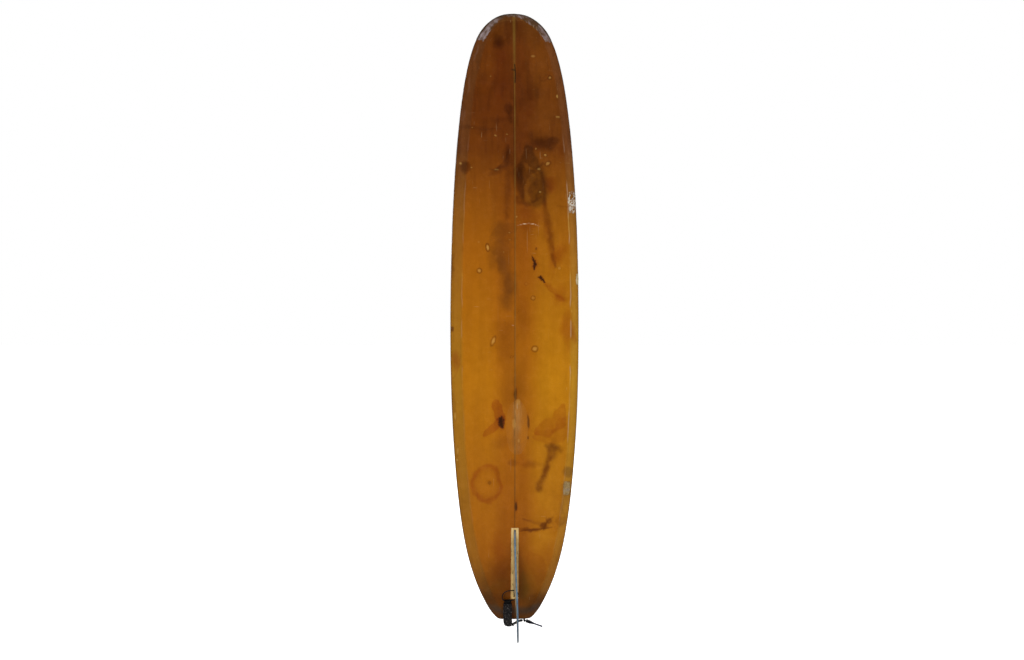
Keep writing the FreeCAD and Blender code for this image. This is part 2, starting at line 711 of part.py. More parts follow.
def make_rail_saver():
    """Webbing with a hem at its upper end and a forked eye round the swivel pin."""
    bend = [strap_section(*row) for row in STRAP_BEND]
    webbing = Part.makeLoft(run_sections(STRAP_RUN) + bend, True, False)
    fork_gap = Part.makeBox(30, 8.6, 30, PIVOT + Vector(-6.2, -4.3, -15))
    saver = webbing.fuse(pivot_cylinder(4.6, 24.0, -12.0)).cut(fork_gap)
    saver = saver.cut(pivot_cylinder(PIN_BORE_R, 40, -20))
    hem_axis = fin_to_board(HEM_BACK, 0, HEM_OUT)
    hem_left = Vector(STRAP_X - HEM_LEN / 2, hem_axis.y, hem_axis.z)
    right_flare = hem_left + Vector(HEM_LEN - FLARE_LEN, 0, 0)
    hem = Part.makeCylinder(HEM_R, HEM_LEN, hem_left, AXIS_X)
    bore = Part.makeCylinder(HEM_BORE_R, 60, hem_left - Vector(14.5, 0, 0), AXIS_X)
    saver = saver.fuse(hem).cut(bore)
    saver = saver.cut(Part.makeCone(FLARE_R, HEM_BORE_R, FLARE_LEN, hem_left, AXIS_X))
    saver = saver.cut(Part.makeCone(HEM_BORE_R, FLARE_R, FLARE_LEN, right_flare, AXIS_X))
    return without_slivers(saver)


def make_saver_flap():
    """Hook-and-loop flap on the outer face of the webbing, below the hem."""
    return Part.makeLoft(run_sections(FLAP_RUN), True, False)


def make_saver_pin():
    half, head_r, head_t = 12.5, 3.2, 1.2
    pin = pivot_cylinder(PIN_R, 2 * half, -half)
    pin = pin.fuse(pivot_cylinder(head_r, head_t, -half - head_t))
    return pin.fuse(pivot_cylinder(head_r, head_t, half)).removeSplitter()


# ------------------------------------------------------------ swivel and cord
SWIVEL_DROP = math.radians(20.5)   # how far the swivel hangs below level
swivel_axis = Vector(math.cos(SWIVEL_DROP), 0, -math.sin(SWIVEL_DROP))
# distances along the swivel axis from the pivot
BARREL_START, BARREL_TAPER, HORN_START, HORN_END, CORD_END = 9.0, 27.0, 31.0, 46.0, 88.5
CORD_START = 24.0
BARREL_R, BARREL_END_R, HORN_END_R = 7.6, 6.6, 4.4
CORD_CORE_R, CORD_R = 3.0, 3.5     # cord inside the horn, and beyond it


def swivel_cylinder(radius, height, start):
    return Part.makeCylinder(radius, height, PIVOT + swivel_axis * start, swivel_axis)


def swivel_cone(start_radius, end_radius, start, end):
    return Part.makeCone(start_radius, end_radius, end - start,
                         PIVOT + swivel_axis * start, swivel_axis)


def make_swivel_link():
    """Eye on the pin, with a headed stem that turns inside the barrel."""
    link = pivot_cylinder(4.5, 7.6, -3.8).fuse(
        swivel_cylinder(2.6, 15.0, 3.4)).fuse(swivel_cylinder(5.0, 2.6, 16.4)).removeSplitter()
    return link.cut(pivot_cylinder(PIN_BORE_R, 20, -10))


def make_swivel_barrel():
    barrel = swivel_cylinder(BARREL_R, BARREL_TAPER - BARREL_START, BARREL_START).fuse(
        swivel_cone(BARREL_R, BARREL_END_R, BARREL_TAPER, HORN_START))
    for i in range(5):   # grip grooves
        centre = PIVOT + swivel_axis * (11.5 + 3.2 * i)
        barrel = barrel.cut(Part.makeTorus(7.9, 0.9, centre, swivel_axis))
    barrel = barrel.cut(swivel_cylinder(2.66, 20, 7.0))    # stem bore
    barrel = barrel.cut(swivel_cylinder(5.2, 6.0, 15.4))   # room for the stem head
    return without_slivers(barrel.cut(swivel_cylinder(CORD_CORE_R, 10, CORD_START)))


def make_cord_horn():
    return swivel_cone(BARREL_END_R, HORN_END_R, HORN_START, HORN_END).cut(
        swivel_cylinder(CORD_CORE_R, 30, 25.0))


def make_leash_cord():
    return swivel_cylinder(CORD_CORE_R, HORN_END - CORD_START, CORD_START).fuse(
        swivel_cylinder(CORD_R, CORD_END - HORN_END, HORN_END)).removeSplitter()


# ------------------------------------------------------------ write
save("foam_blank_left", make_core_piece(-STRINGER / 2 - 400, 400))
save("foam_blank_right", make_core_piece(STRINGER / 2, 400))
save("stringer", make_core_piece(-STRINGER / 2, STRINGER))
save("bottom_glass", make_bottom_glass())
save("deck_glass", make_deck_glass())
save("nose_repair_cloth", make_nose_cloth())
for repair, oval in OVAL_REPAIRS.items():
    save(repair, make_oval_repair(oval))
save("fin_box", make_fin_box(fin_box))
save("fin_box_resin_bed", without_slivers(bed.common(outer).cut(fin_box)))
fin_panel, fin_bead = make_fin()
save("fin_panel", from_fin(fin_panel))
save("fin_edge_bead", from_fin(fin_bead))
save("fin_screw", from_fin(make_fin_screw()))
save("fin_plate_nut", from_fin(make_fin_plate()))
save("leash_string", make_leash_string())
save("string_knot", make_string_knot())
save("rail_saver", make_rail_saver())
save("saver_flap", make_saver_flap())
save("saver_pin", make_saver_pin())
save("swivel_link", make_swivel_link())
save("swivel_barrel", make_swivel_barrel())
save("cord_horn", make_cord_horn())
save("leash_cord", make_leash_cord())
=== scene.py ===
# An aged longboard standing on its tail, with its fin, the string through the fin and the
# leash's rail saver. Scene axes: +X is to the right when facing the bottom, -Y points out of
# the bottom, +Y out of the deck, +Z from tail to nose. Shape code works in mm, with x across
# the board, y from bottom to deck and "along" measured from the tail end.
import math
from collections import namedtuple

import bmesh
import bpy
import numpy as np
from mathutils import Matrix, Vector

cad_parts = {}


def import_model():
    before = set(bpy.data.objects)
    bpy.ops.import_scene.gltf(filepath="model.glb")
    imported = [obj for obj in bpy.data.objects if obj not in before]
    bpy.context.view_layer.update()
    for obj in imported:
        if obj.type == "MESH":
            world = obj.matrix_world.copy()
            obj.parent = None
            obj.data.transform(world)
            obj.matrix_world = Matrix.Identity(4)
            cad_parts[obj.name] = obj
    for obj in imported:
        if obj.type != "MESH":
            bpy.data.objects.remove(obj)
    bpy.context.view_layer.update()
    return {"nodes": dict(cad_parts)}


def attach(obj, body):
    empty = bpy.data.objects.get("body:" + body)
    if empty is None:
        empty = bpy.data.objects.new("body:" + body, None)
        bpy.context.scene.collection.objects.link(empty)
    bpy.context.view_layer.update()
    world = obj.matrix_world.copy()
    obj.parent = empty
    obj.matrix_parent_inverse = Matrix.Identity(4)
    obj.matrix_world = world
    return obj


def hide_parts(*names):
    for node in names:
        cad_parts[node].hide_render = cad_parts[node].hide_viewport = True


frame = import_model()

# ------------------------------------------------------------------ the board's shape (mm)
LENGTH = 2788.0
BASE_Y, BASE_Z = 40.9, 39.8         # where the shape's own origin lies in the scene
BASE = np.array([0, BASE_Y, BASE_Z])
TAIL_ROCKER, NOSE_ROCKER = 60.0, 95.0
ROCKER_MID = 1310.0                 # the flat spot the rocker rises from
TAIL_POWER, NOSE_POWER = 2.6, 2.8
APEX = 0.40                         # height of the rail apex, as a share of the thickness
BELLY = 3.0
RAIL_ROUND = 0.22
FAN_TAIL, FAN_NOSE = 60.0, 140.0    # how far in from each end the cross-lines fan out
LAP_RIGHT, LAP_LEFT, LAP_ENDS = 40.0, 52.0, 45.0    # lap's distance in from the rail
MIN_HALF_WIDTH = 30.0               # floor for the half width where paint divides by it

# columns: along, half width
OUTLINE = np.array([
    (0.0, 0.0), (0.5, 30.0), (1.7, 55.0), (4.6, 72.0), (9.5, 80.0), (17.0, 87.8),
    (26.0, 95.8), (40.0, 107.0), (60.0, 120.0), (80.0, 131.0), (100.0, 141.0),
    (150.0, 163.9), (200.0, 183.0), (250.0, 199.0), (300.0, 212.6), (400.0, 233.4),
    (500.0, 248.6), (600.0, 260.2), (700.0, 269.2), (800.0, 276.3), (900.0, 282.0),
    (1000.0, 286.3), (1100.0, 289.3), (1200.0, 291.2), (1300.0, 292.0), (1400.0, 292.0),
    (1500.0, 291.3), (1600.0, 289.7), (1700.0, 287.3), (1800.0, 284.1), (1900.0, 279.9),
    (2000.0, 274.6), (2100.0, 267.9), (2200.0, 259.7), (2300.0, 249.5), (2400.0, 236.8),
    (2500.0, 220.0), (2550.0, 209.0), (2600.0, 195.6), (2650.0, 178.2), (2680.0, 164.6),
    (2700.0, 153.3), (2720.0, 139.0), (2740.0, 120.6), (2755.0, 103.0), (2765.0, 88.6),
    (2775.0, 70.0), (2782.0, 51.0), (2786.5, 25.0), (LENGTH, 0.0)])
# columns: along, thickness
THICKNESS = np.array([
    (0.0, 26.0), (60.0, 30.0), (150.0, 37.0), (305.0, 49.0), (600.0, 65.0),
    (1000.0, 74.0), (1310.0, 76.0), (1700.0, 74.0), (2100.0, 66.0), (2483.0, 49.5),
    (2640.0, 40.0), (LENGTH, 27.0)])


class Cubic:
    """Cubic spline through (knots, values); an end without a slope is natural."""

    def __init__(self, knots, values, slope_start=None, slope_end=None):
        knots, values = np.asarray(knots, float), np.asarray(values, float)
        count, gap = len(knots), np.diff(knots)
        matrix, right = np.zeros((count, count)), np.zeros(count)
        for i in range(1, count - 1):
            matrix[i, i - 1:i + 2] = gap[i - 1], 2 * (gap[i - 1] + gap[i]), gap[i]
            right[i] = 6 * ((values[i + 1] - values[i]) / gap[i]
                            - (values[i] - values[i - 1]) / gap[i - 1])
        matrix[0, 0] = matrix[-1, -1] = 1.0
        if slope_start is not None:
            matrix[0, :2] = 2 * gap[0], gap[0]
            right[0] = 6 * ((values[1] - values[0]) / gap[0] - slope_start)
        if slope_end is not None:
            matrix[-1, -2:] = gap[-1], 2 * gap[-1]
            right[-1] = 6 * (slope_end - (values[-1] - values[-2]) / gap[-1])
        self.knots, self.values, self.gap = knots, values, gap
        self.bend = np.linalg.solve(matrix, right)

    def __call__(self, at):
        at = np.clip(np.asarray(at, float), self.knots[0], self.knots[-1])
        i = np.searchsorted(self.knots, at, side="right") - 1
        i = np.clip(i, 0, len(self.gap) - 1)
        gap = self.gap[i]
        before, after = (self.knots[i + 1] - at) / gap, (at - self.knots[i]) / gap
        return (before * self.values[i] + after * self.values[i + 1]
                + ((before ** 3 - before) * self.bend[i]
                   + (after ** 3 - after) * self.bend[i + 1]) * gap * gap / 6)


def run_of(points):
    """Distance travelled at each point of a polyline."""
    steps = np.linalg.norm(np.diff(points, axis=0), axis=1)
    return np.concatenate([[0], np.cumsum(steps)])


def lookup(rows, at):
    """Straight-line reading of a table of (at, value) rows."""
    rows = np.array(rows, float)
    return np.interp(at, rows[:, 0], rows[:, 1])


outline_run = run_of(OUTLINE)
RIM = outline_run[-1]               # length of one side's outline
rim_along = Cubic(outline_run, OUTLINE[:, 0], 0.0, 0.0)
rim_x = Cubic(outline_run, OUTLINE[:, 1], 1.0, -1.0)
thickness = Cubic(THICKNESS[:, 0], THICKNESS[:, 1])
_fine = np.linspace(0, RIM, 6000)
_fine_along, _fine_x = rim_along(_fine), rim_x(_fine)


def half_width(along):
    return np.interp(along, _fine_along, _fine_x)


def rocker(along):
    """Lift of the bottom's centre line."""
    along = np.asarray(along, float)
    to_tail = np.clip(ROCKER_MID - along, 0, None) / ROCKER_MID
    to_nose = np.clip(along - ROCKER_MID, 0, None) / (LENGTH - ROCKER_MID)
    return np.where(along < ROCKER_MID, TAIL_ROCKER * to_tail ** TAIL_POWER,
                    NOSE_ROCKER * to_nose ** NOSE_POWER)


def spine(along):
    """Where on the stringer the cross-line to an outline point begins; lines fan at the ends."""
    from_nose = LENGTH - along
    nose = LENGTH - FAN_NOSE - from_nose * from_nose / (4 * FAN_NOSE)
    return np.where(along < 2 * FAN_TAIL, FAN_TAIL + along * along / (4 * FAN_TAIL),
                    np.where(from_nose < 2 * FAN_NOSE, nose, along))


def skin(edge_x, edge_along, turn):
    """Outer surface on the cross-line to an outline point.

    turn goes from 0 (bottom stringer) through 0.5 (rail apex) to 1 (deck stringer).
    """
    start = spine(edge_along)
    reach = np.hypot(edge_x, edge_along - start)
    out = np.sin(np.pi * turn)
    along = start + out * (edge_along - start)
    x = out * edge_x
    at_rail = thickness(edge_along)
    power_bottom = 2 * RAIL_ROUND * reach / (APEX * APEX * at_rail)
    power_deck = 2 * RAIL_ROUND * reach / ((1 - APEX) ** 2 * at_rail)
    thick = thickness(along)
    out = np.clip(out, 0, 1)
    bottom = (APEX * thick * (1 - np.sqrt(np.clip(1 - out ** power_bottom, 0, None)))
              + BELLY * out * out * (1 - out ** 8))
    deck = thick - (1 - APEX) * thick * (1 - np.sqrt(np.clip(1 - out ** power_deck, 0, None)))
    return x, rocker(along) + np.where(turn <= 0.5, bottom, deck), along


def world(x, y, along):
    """Scene position in metres."""
    return np.stack([x, y + BASE_Y, along + BASE_Z], axis=-1) / 1000.0


# Fin frame: back from the fin's front, x across, out of the bottom.
FIN_MID, BOX_CENTRE = 157.0, 264.0
_slope = math.atan(TAIL_ROCKER * TAIL_POWER / ROCKER_MID
                   * ((ROCKER_MID - BOX_CENTRE) / ROCKER_MID) ** (TAIL_POWER - 1))
FORWARD = np.array([0, -math.sin(_slope), math.cos(_slope)])
OUTWARD = np.array([0, -math.cos(_slope), -math.sin(_slope)])
FIN_FRONT = (np.array([0, float(rocker(BOX_CENTRE)) + BASE_Y, BOX_CENTRE + BASE_Z])
             + FORWARD * FIN_MID)
BOX_HALF_WIDTH, BOX_MARGIN = 19.0, 9.5
BOX_FRONT, BOX_REAR = -BOX_MARGIN, 2 * FIN_MID + BOX_MARGIN


def fin_at(back, x, high):
    """Scene position in metres of a place in the fin frame."""
    back, x, high = np.broadcast_arrays(np.asarray(back, float), np.asarray(x, float),
                                        np.asarray(high, float))
    place = FIN_FRONT - back[..., None] * FORWARD + high[..., None] * OUTWARD
    place[..., 0] += x
    return place / 1000.0


def fin_mm(back, x, high):
    return fin_at(back, x, high) * 1000.0


# ------------------------------------------------------------------ noise and colour on arrays
def lattice(column, row, seed):
    """A fixed pseudo-random 0..1 value for each lattice cell."""
    code = (column.astype(np.int64) * 374761393 + row.astype(np.int64) * 668265263
            + seed * 974711) & 0xFFFFFFFF
    code = ((code ^ (code >> 13)) * 1274126177) & 0xFFFFFFFF
    return ((code ^ (code >> 16)) & 0xFFFF) / 65535.0


def noise(x, y, size, seed):
    """Smooth value noise, -1..1, on a lattice of the given size."""
    x, y = np.asarray(x, float) / size + 1000.0, np.asarray(y, float) / size + 1000.0
    i, j = np.floor(x), np.floor(y)
    x, y = x - i, y - j
    x, y = x ** 3 * (x * (6 * x - 15) + 10), y ** 3 * (y * (6 * y - 15) + 10)
    near = lattice(i, j, seed) * (1 - x) + lattice(i + 1, j, seed) * x
    far = lattice(i, j + 1, seed) * (1 - x) + lattice(i + 1, j + 1, seed) * x
    return 2 * (near * (1 - y) + far * y) - 1


def fbm(x, y, size, octaves=3, seed=0):
    """Noise summed over octaves, each half the size and half the strength of the last."""
    total, strength, weight = 0.0, 1.0, 0.0
    for octave in range(octaves):
        total = total + strength * noise(x, y, size / 2 ** octave, seed + 17 * octave)
        weight += strength
        strength *= 0.5
    return total / weight


def wander(run, size, seed, octaves=1):
    """Noise that varies along one direction only."""
    return fbm(run, run * 0, size, octaves, seed)


def smooth(start, end, value):
    """0 at start, 1 at end, eased; start may be above end."""
    part = np.clip((value - start) / (end - start), 0, 1)
    return part * part * (3 - 2 * part)


def bell(offset, width):
    return np.exp(-(offset / width) ** 2)


def srgb(red, green, blue):
    """Linear colour from 0..255 display values."""
    value = np.array([red, green, blue], float) / 255.0
    return np.where(value <= 0.04045, value / 12.92, ((value + 0.055) / 1.055) ** 2.4)


def mix(base, colour, amount):
    return base * (1 - amount[..., None]) + np.asarray(colour) * amount[..., None]


def scale(colour, factor):
    return colour * factor[..., None]


def darken(colour, amount):
    return colour * (1 - amount)[..., None]


def stain(colour, amount, tint):
    """Multiply by a tint, as far as amount says."""
    return colour * (1 - amount[..., None] * (1 - np.array(tint)))


# ------------------------------------------------------------------ marks of age on the bottom
# columns: x, along, half width, half length, angle in degrees, kind, strength
BLOTS = [
    (-73, 2640, 27.3, 31.8, 20, 'dark', 0.55), (-109, 2371, 100.1, 136.5, 0, 'red', 0.25),
    (-64, 2512, 45.5, 113.8, 0, 'red', 0.3), (-163, 2325, 45.5, 113.8, 0, 'dark', 0.12),
    (-27, 2334, 18.2, 27.3, 0, 'dark', 0.35), (-63, 2287, 45.5, 18.2, 0, 'dark', 0.2),
    (118, 2172, 68.2, 31.8, 5, 'dark', 0.45), (63, 2209, 36.4, 22.8, 0, 'dark', 0.2),
    (176, 2186, 27.3, 18.2, 0, 'dark', 0.3), (145, 2287, 40.9, 54.6, 0, 'light', 0.14),
    (119, 2550, 54.6, 91.0, 0, 'light', 0.2), (27, 2631, 45.5, 63.7, 0, 'light', 0.12),
    (82, 2418, 54.6, 45.5, 0, 'dark', 0.22), (41, 2357, 40.9, 27.3, 0, 'dark', 0.22),
    (-226, 2058, 22.8, 27.3, 0, 'dark', 0.5), (-199, 2241, 45.5, 13.6, 0, 'dark', 0.25),
    (-145, 2232, 36.4, 22.8, 20, 'dark', 0.2), (-258, 2163, 18.2, 45.5, 0, 'dark', 0.25),
    (212, 2140, 18.2, 36.4, 0, 'red', 0.25), (-32, 2104, 22.8, 45.5, 0, 'dark', 0.35),
    (-77, 2053, 40.9, 13.6, 15, 'dark', 0.3), (5, 2040, 22.8, 72.8, 0, 'dark', 0.3),
    (171, 1990, 22.8, 36.4, 0, 'red', 0.35), (194, 1651, 27.3, 63.7, -25, 'red', 0.4),
    (207, 1484, 31.8, 40.9, -35, 'red', 0.28), (-63, 1768, 45.5, 54.6, 0, 'smoke', 0.35),
    (-77, 1664, 45.5, 63.7, 0, 'smoke', 0.45), (-41, 1574, 36.4, 91.0, 0, 'smoke', 0.4),
    (-18, 1507, 31.8, 72.8, 0, 'smoke', 0.35), (-41, 1462, 27.3, 45.5, 0, 'smoke', 0.35),
    (27, 1381, 31.8, 100.1, 0, 'dark', 0.18), (-41, 1259, 40.9, 100.1, 0, 'dark', 0.22),
    (-63, 1326, 54.6, 45.5, 0, 'dark', 0.12), (-9, 1056, 54.6, 91.0, 0, 'dark', 0.2),
    (27, 1124, 36.4, 91.0, 0, 'dark', 0.12), (95, 1693, 4.5, 7.3, 0, 'burn', 0.5),
    (158, 1516, 40.9, 13.6, -40, 'red', 0.35), (203, 1471, 27.3, 13.6, -20, 'red', 0.35),
    (234, 1326, 27.3, 81.9, 0, 'red', 0.4), (266, 1313, 13.6, 45.5, 0, 'red', 0.5),
    (-281, 1619, 10.0, 50.0, 0, 'dark', 0.4), (-281, 1331, 7.3, 11.4, 0, 'dark', 0.6),
    (-266, 1187, 20.5, 40.9, -8, 'red', 0.5), (-275, 1011, 13.6, 54.6, 0, 'dark', 0.2),
    (59, 912, 4.5, 25.0, 0, 'burn', 0.6), (57, 840, 4.1, 9.1, 0, 'burn', 0.5),
    (3, 1038, 6.4, 22.8, 0, 'burn', 0.6), (-63, 822, 45.5, 36.4, 0, 'dark', 0.2),
    (-115, 640, 40.0, 38.0, 0, 'light', 0.14), (-115, 636, 9.0, 8.5, 0, 'burn', 0.32),
    (-9, 727, 22.8, 15.9, 0, 'dark', 0.26), (72, 713, 40.9, 13.6, 5, 'dark', 0.2),
    (239, 686, 20.5, 25.0, 0, 'smoke', 0.6), (244, 595, 22.8, 40.9, 0, 'smoke', 0.2),
    (171, 641, 40.9, 72.8, 0, 'light', 0.1), (4, 527, 5.5, 20.5, 0, 'burn', 0.75),
    (72, 419, 45.5, 7.3, 4, 'dark', 0.55), (131, 435, 18.2, 16.4, -30, 'dark', 0.55),
    (154, 458, 13.6, 13.6, -30, 'dark', 0.4), (208, 458, 27.3, 22.8, 0, 'dark', 0.25),
    (109, 375, 59.1, 40.9, 0, 'light', 0.32), (140, 398, 40.9, 27.3, 0, 'light', 0.2),
    (41, 143, 31.8, 54.6, 0, 'olive', 0.4), (-64, 283, 36.4, 118.3, 0, 'red', 0.2),
    (-86, 352, 27.3, 63.7, 0, 'red', 0.18), (-64, 237, 63.7, 54.6, -30, 'dark', 0.16),
    (-109, 167, 72.8, 63.7, 0, 'dark', 0.18), (-128, 96, 81.9, 40.9, 0, 'dark', 0.35),
    (141, 82, 72.8, 36.4, 0, 'dark', 0.42), (-41, 40, 109.2, 22.8, 0, 'smoke', 0.35),
    (64, 40, 63.7, 22.8, 0, 'smoke', 0.45), (-200, 283, 27.3, 91.0, 0, 'light', 0.08),
    (209, 283, 27.3, 91.0, 0, 'dark', 0.15), (-165, 2631, 13.6, 22.8, 25, 'light', 0.2),
    (254, 2094, 10.0, 38.0, 2, 'light', 0.85), (252, 2150, 9.0, 26.0, 0, 'light', 0.35),
    (-178, 2592, 5.0, 40.0, -12, 'lilac', 0.22), (-216, 2440, 4.0, 46.0, -8, 'lilac', 0.16),
    (-232, 2300, 5.0, 40.0, -6, 'lilac', 0.10), (-262, 2085, 9.0, 22.0, 0, 'light', 0.40),
]
# columns: x, along, half width, half length, angle in degrees, dark rim, pale middle
NICKS = [
    (-124, 1698, 6.8, 13.6, 8, 0.8, 0.9), (-161, 1594, 8.6, 8.6, 0, 0.8, 0.7),
    (-99, 1277, 7.3, 18.2, -22, 0.7, 0.75), (81, 1471, 7.7, 7.7, 0, 0.8, 0.25),
    (89, 1241, 10.9, 10.5, 20, 0.8, 0.7), (201, 1606, 6.8, 7.7, 0, 0.2, 0.4),
    (85, 2581, 11.8, 7.3, 0, 0.15, 0.45), (162, 2481, 7.3, 7.3, 0, 0.7, 0.75),
    (195, 2394, 5.0, 9.1, 0, 0.2, 0.9), (197, 2297, 12.7, 5.5, -8, 0.2, 0.55),
    (-88, 2207, 6.4, 4.5, -25, 0.2, 0.6), (-36, 2214, 5.5, 3.2, 0, 0.1, 0.5),
    (95, 2149, 4.5, 4.5, 0, 0.1, 0.8), (138, 2120, 7.3, 5.5, -10, 0.6, 0.75),
    (149, 2081, 11.8, 7.7, 30, 0.6, 0.6), (108, 2056, 9.1, 6.8, 0, 0.3, 0.5),
    (113, 1951, 6.4, 4.5, 0, 0.2, 0.6), (7, 1838, 4.5, 4.5, 0, 0.1, 0.6),
    (-246, 2079, 7.3, 6.4, 0, 0.1, 0.7), (-197, 2060, 3.6, 2.7, 0, 0.1, 0.8),
    (-84, 2051, 13.6, 4.1, 5, 0.1, 0.45), (-25, 1766, 4.5, 2.3, 0, 0.1, 0.7),
    (-25, 1734, 6.4, 3.2, 0, 0.5, 0.2), (14, 1002, 11.8, 16.4, 0, 0.1, 0.55),
    (-5, 903, 10.0, 27.3, 0, 0.05, 0.5), (16, 826, 6.8, 10.9, 0, 0.1, 0.6),
    (-261, 740, 5.5, 6.4, 0, 0.1, 0.95), (-259, 1002, 3.6, 4.5, 0, 0.1, 0.4),
    (-270, 939, 5.5, 18.2, 0, 0.3, 0.6), (-259, 781, 4.5, 18.2, 0, 0.3, 0.5),
    (-109, 2483, 4.5, 3.2, 0, 0.1, 0.45), (-193, 2244, 4.1, 2.3, 0, 0.1, 0.5),
    (251, 2260, 3.6, 5.5, 0, 0.0, 0.6), (-164, 1723, 5.5, 4.1, 0, 0.1, 0.35),
    (-52, 1678, 4.5, 3.6, 0, 0.1, 0.3), (50, 1534, 6.4, 5.5, 0, 0.3, 0.1),
    (-16, 1205, 6.4, 3.6, 20, 0.6, 0.0), (-45, 1358, 3.6, 2.7, 0, 0.3, 0.1),
    (257, 1412, 3.6, 7.3, 0, 0.0, 0.5), (234, 1061, 3.6, 7.3, 0, 0.0, 0.4),
]
# columns: points as (x, along), width, kind, strength
LINES = [
    ([(1, 2540), (4, 2498), (2, 2455)], 4.1, 'black', 1.0),
    ([(-11, 2516), (1, 2513)], 5.5, 'black', 0.8),
    ([(8, 1798), (36, 1805), (62, 1808), (86, 1805), (112, 1795)], 1.7, 'white', 0.95),
    ([(-18, 1349), (-5, 1347)], 1.8, 'white', 0.5),
    ([(-36, 2334), (-23, 2297), (-14, 2283)], 3.6, 'dark', 0.3),
    ([(2, 2394), (1, 2186)], 3.2, 'olive', 0.3),
    ([(-27, 2140), (-41, 2094), (-86, 2049), (-117, 2058)], 6.4, 'dark', 0.35),
    ([(167, 1732), (189, 1633), (153, 1507), (216, 1471)], 5.5, 'red', 0.25),
    ([(133, 1548), (149, 1507), (189, 1480), (221, 1462)], 4.5, 'red', 0.45),
    ([(23, 412), (63, 419), (118, 422), (167, 428)], 4.1, 'dark', 0.55),
    ([(131, 426), (149, 458), (172, 476)], 5.5, 'dark', 0.4),
    ([(159, 2479), (132, 2465), (118, 2469)], 4.5, 'dark', 0.35),
    ([(123, 2469), (141, 2493), (160, 2498), (173, 2483)], 3.2, 'dark', 0.35),
    ([(194, 1890), (230, 1888), (257, 1885)], 5.5, 'dark', 0.25),
    ([(-154, 2232), (-109, 2241), (-63, 2241)], 5.5, 'dark', 0.2),
    ([(154, 467), (190, 421), (235, 467), (208, 536)], 9.1, 'dark', 0.16),
    ([(-243, 1214), (-261, 1137), (-279, 1101)], 4.5, 'red', 0.3),
]
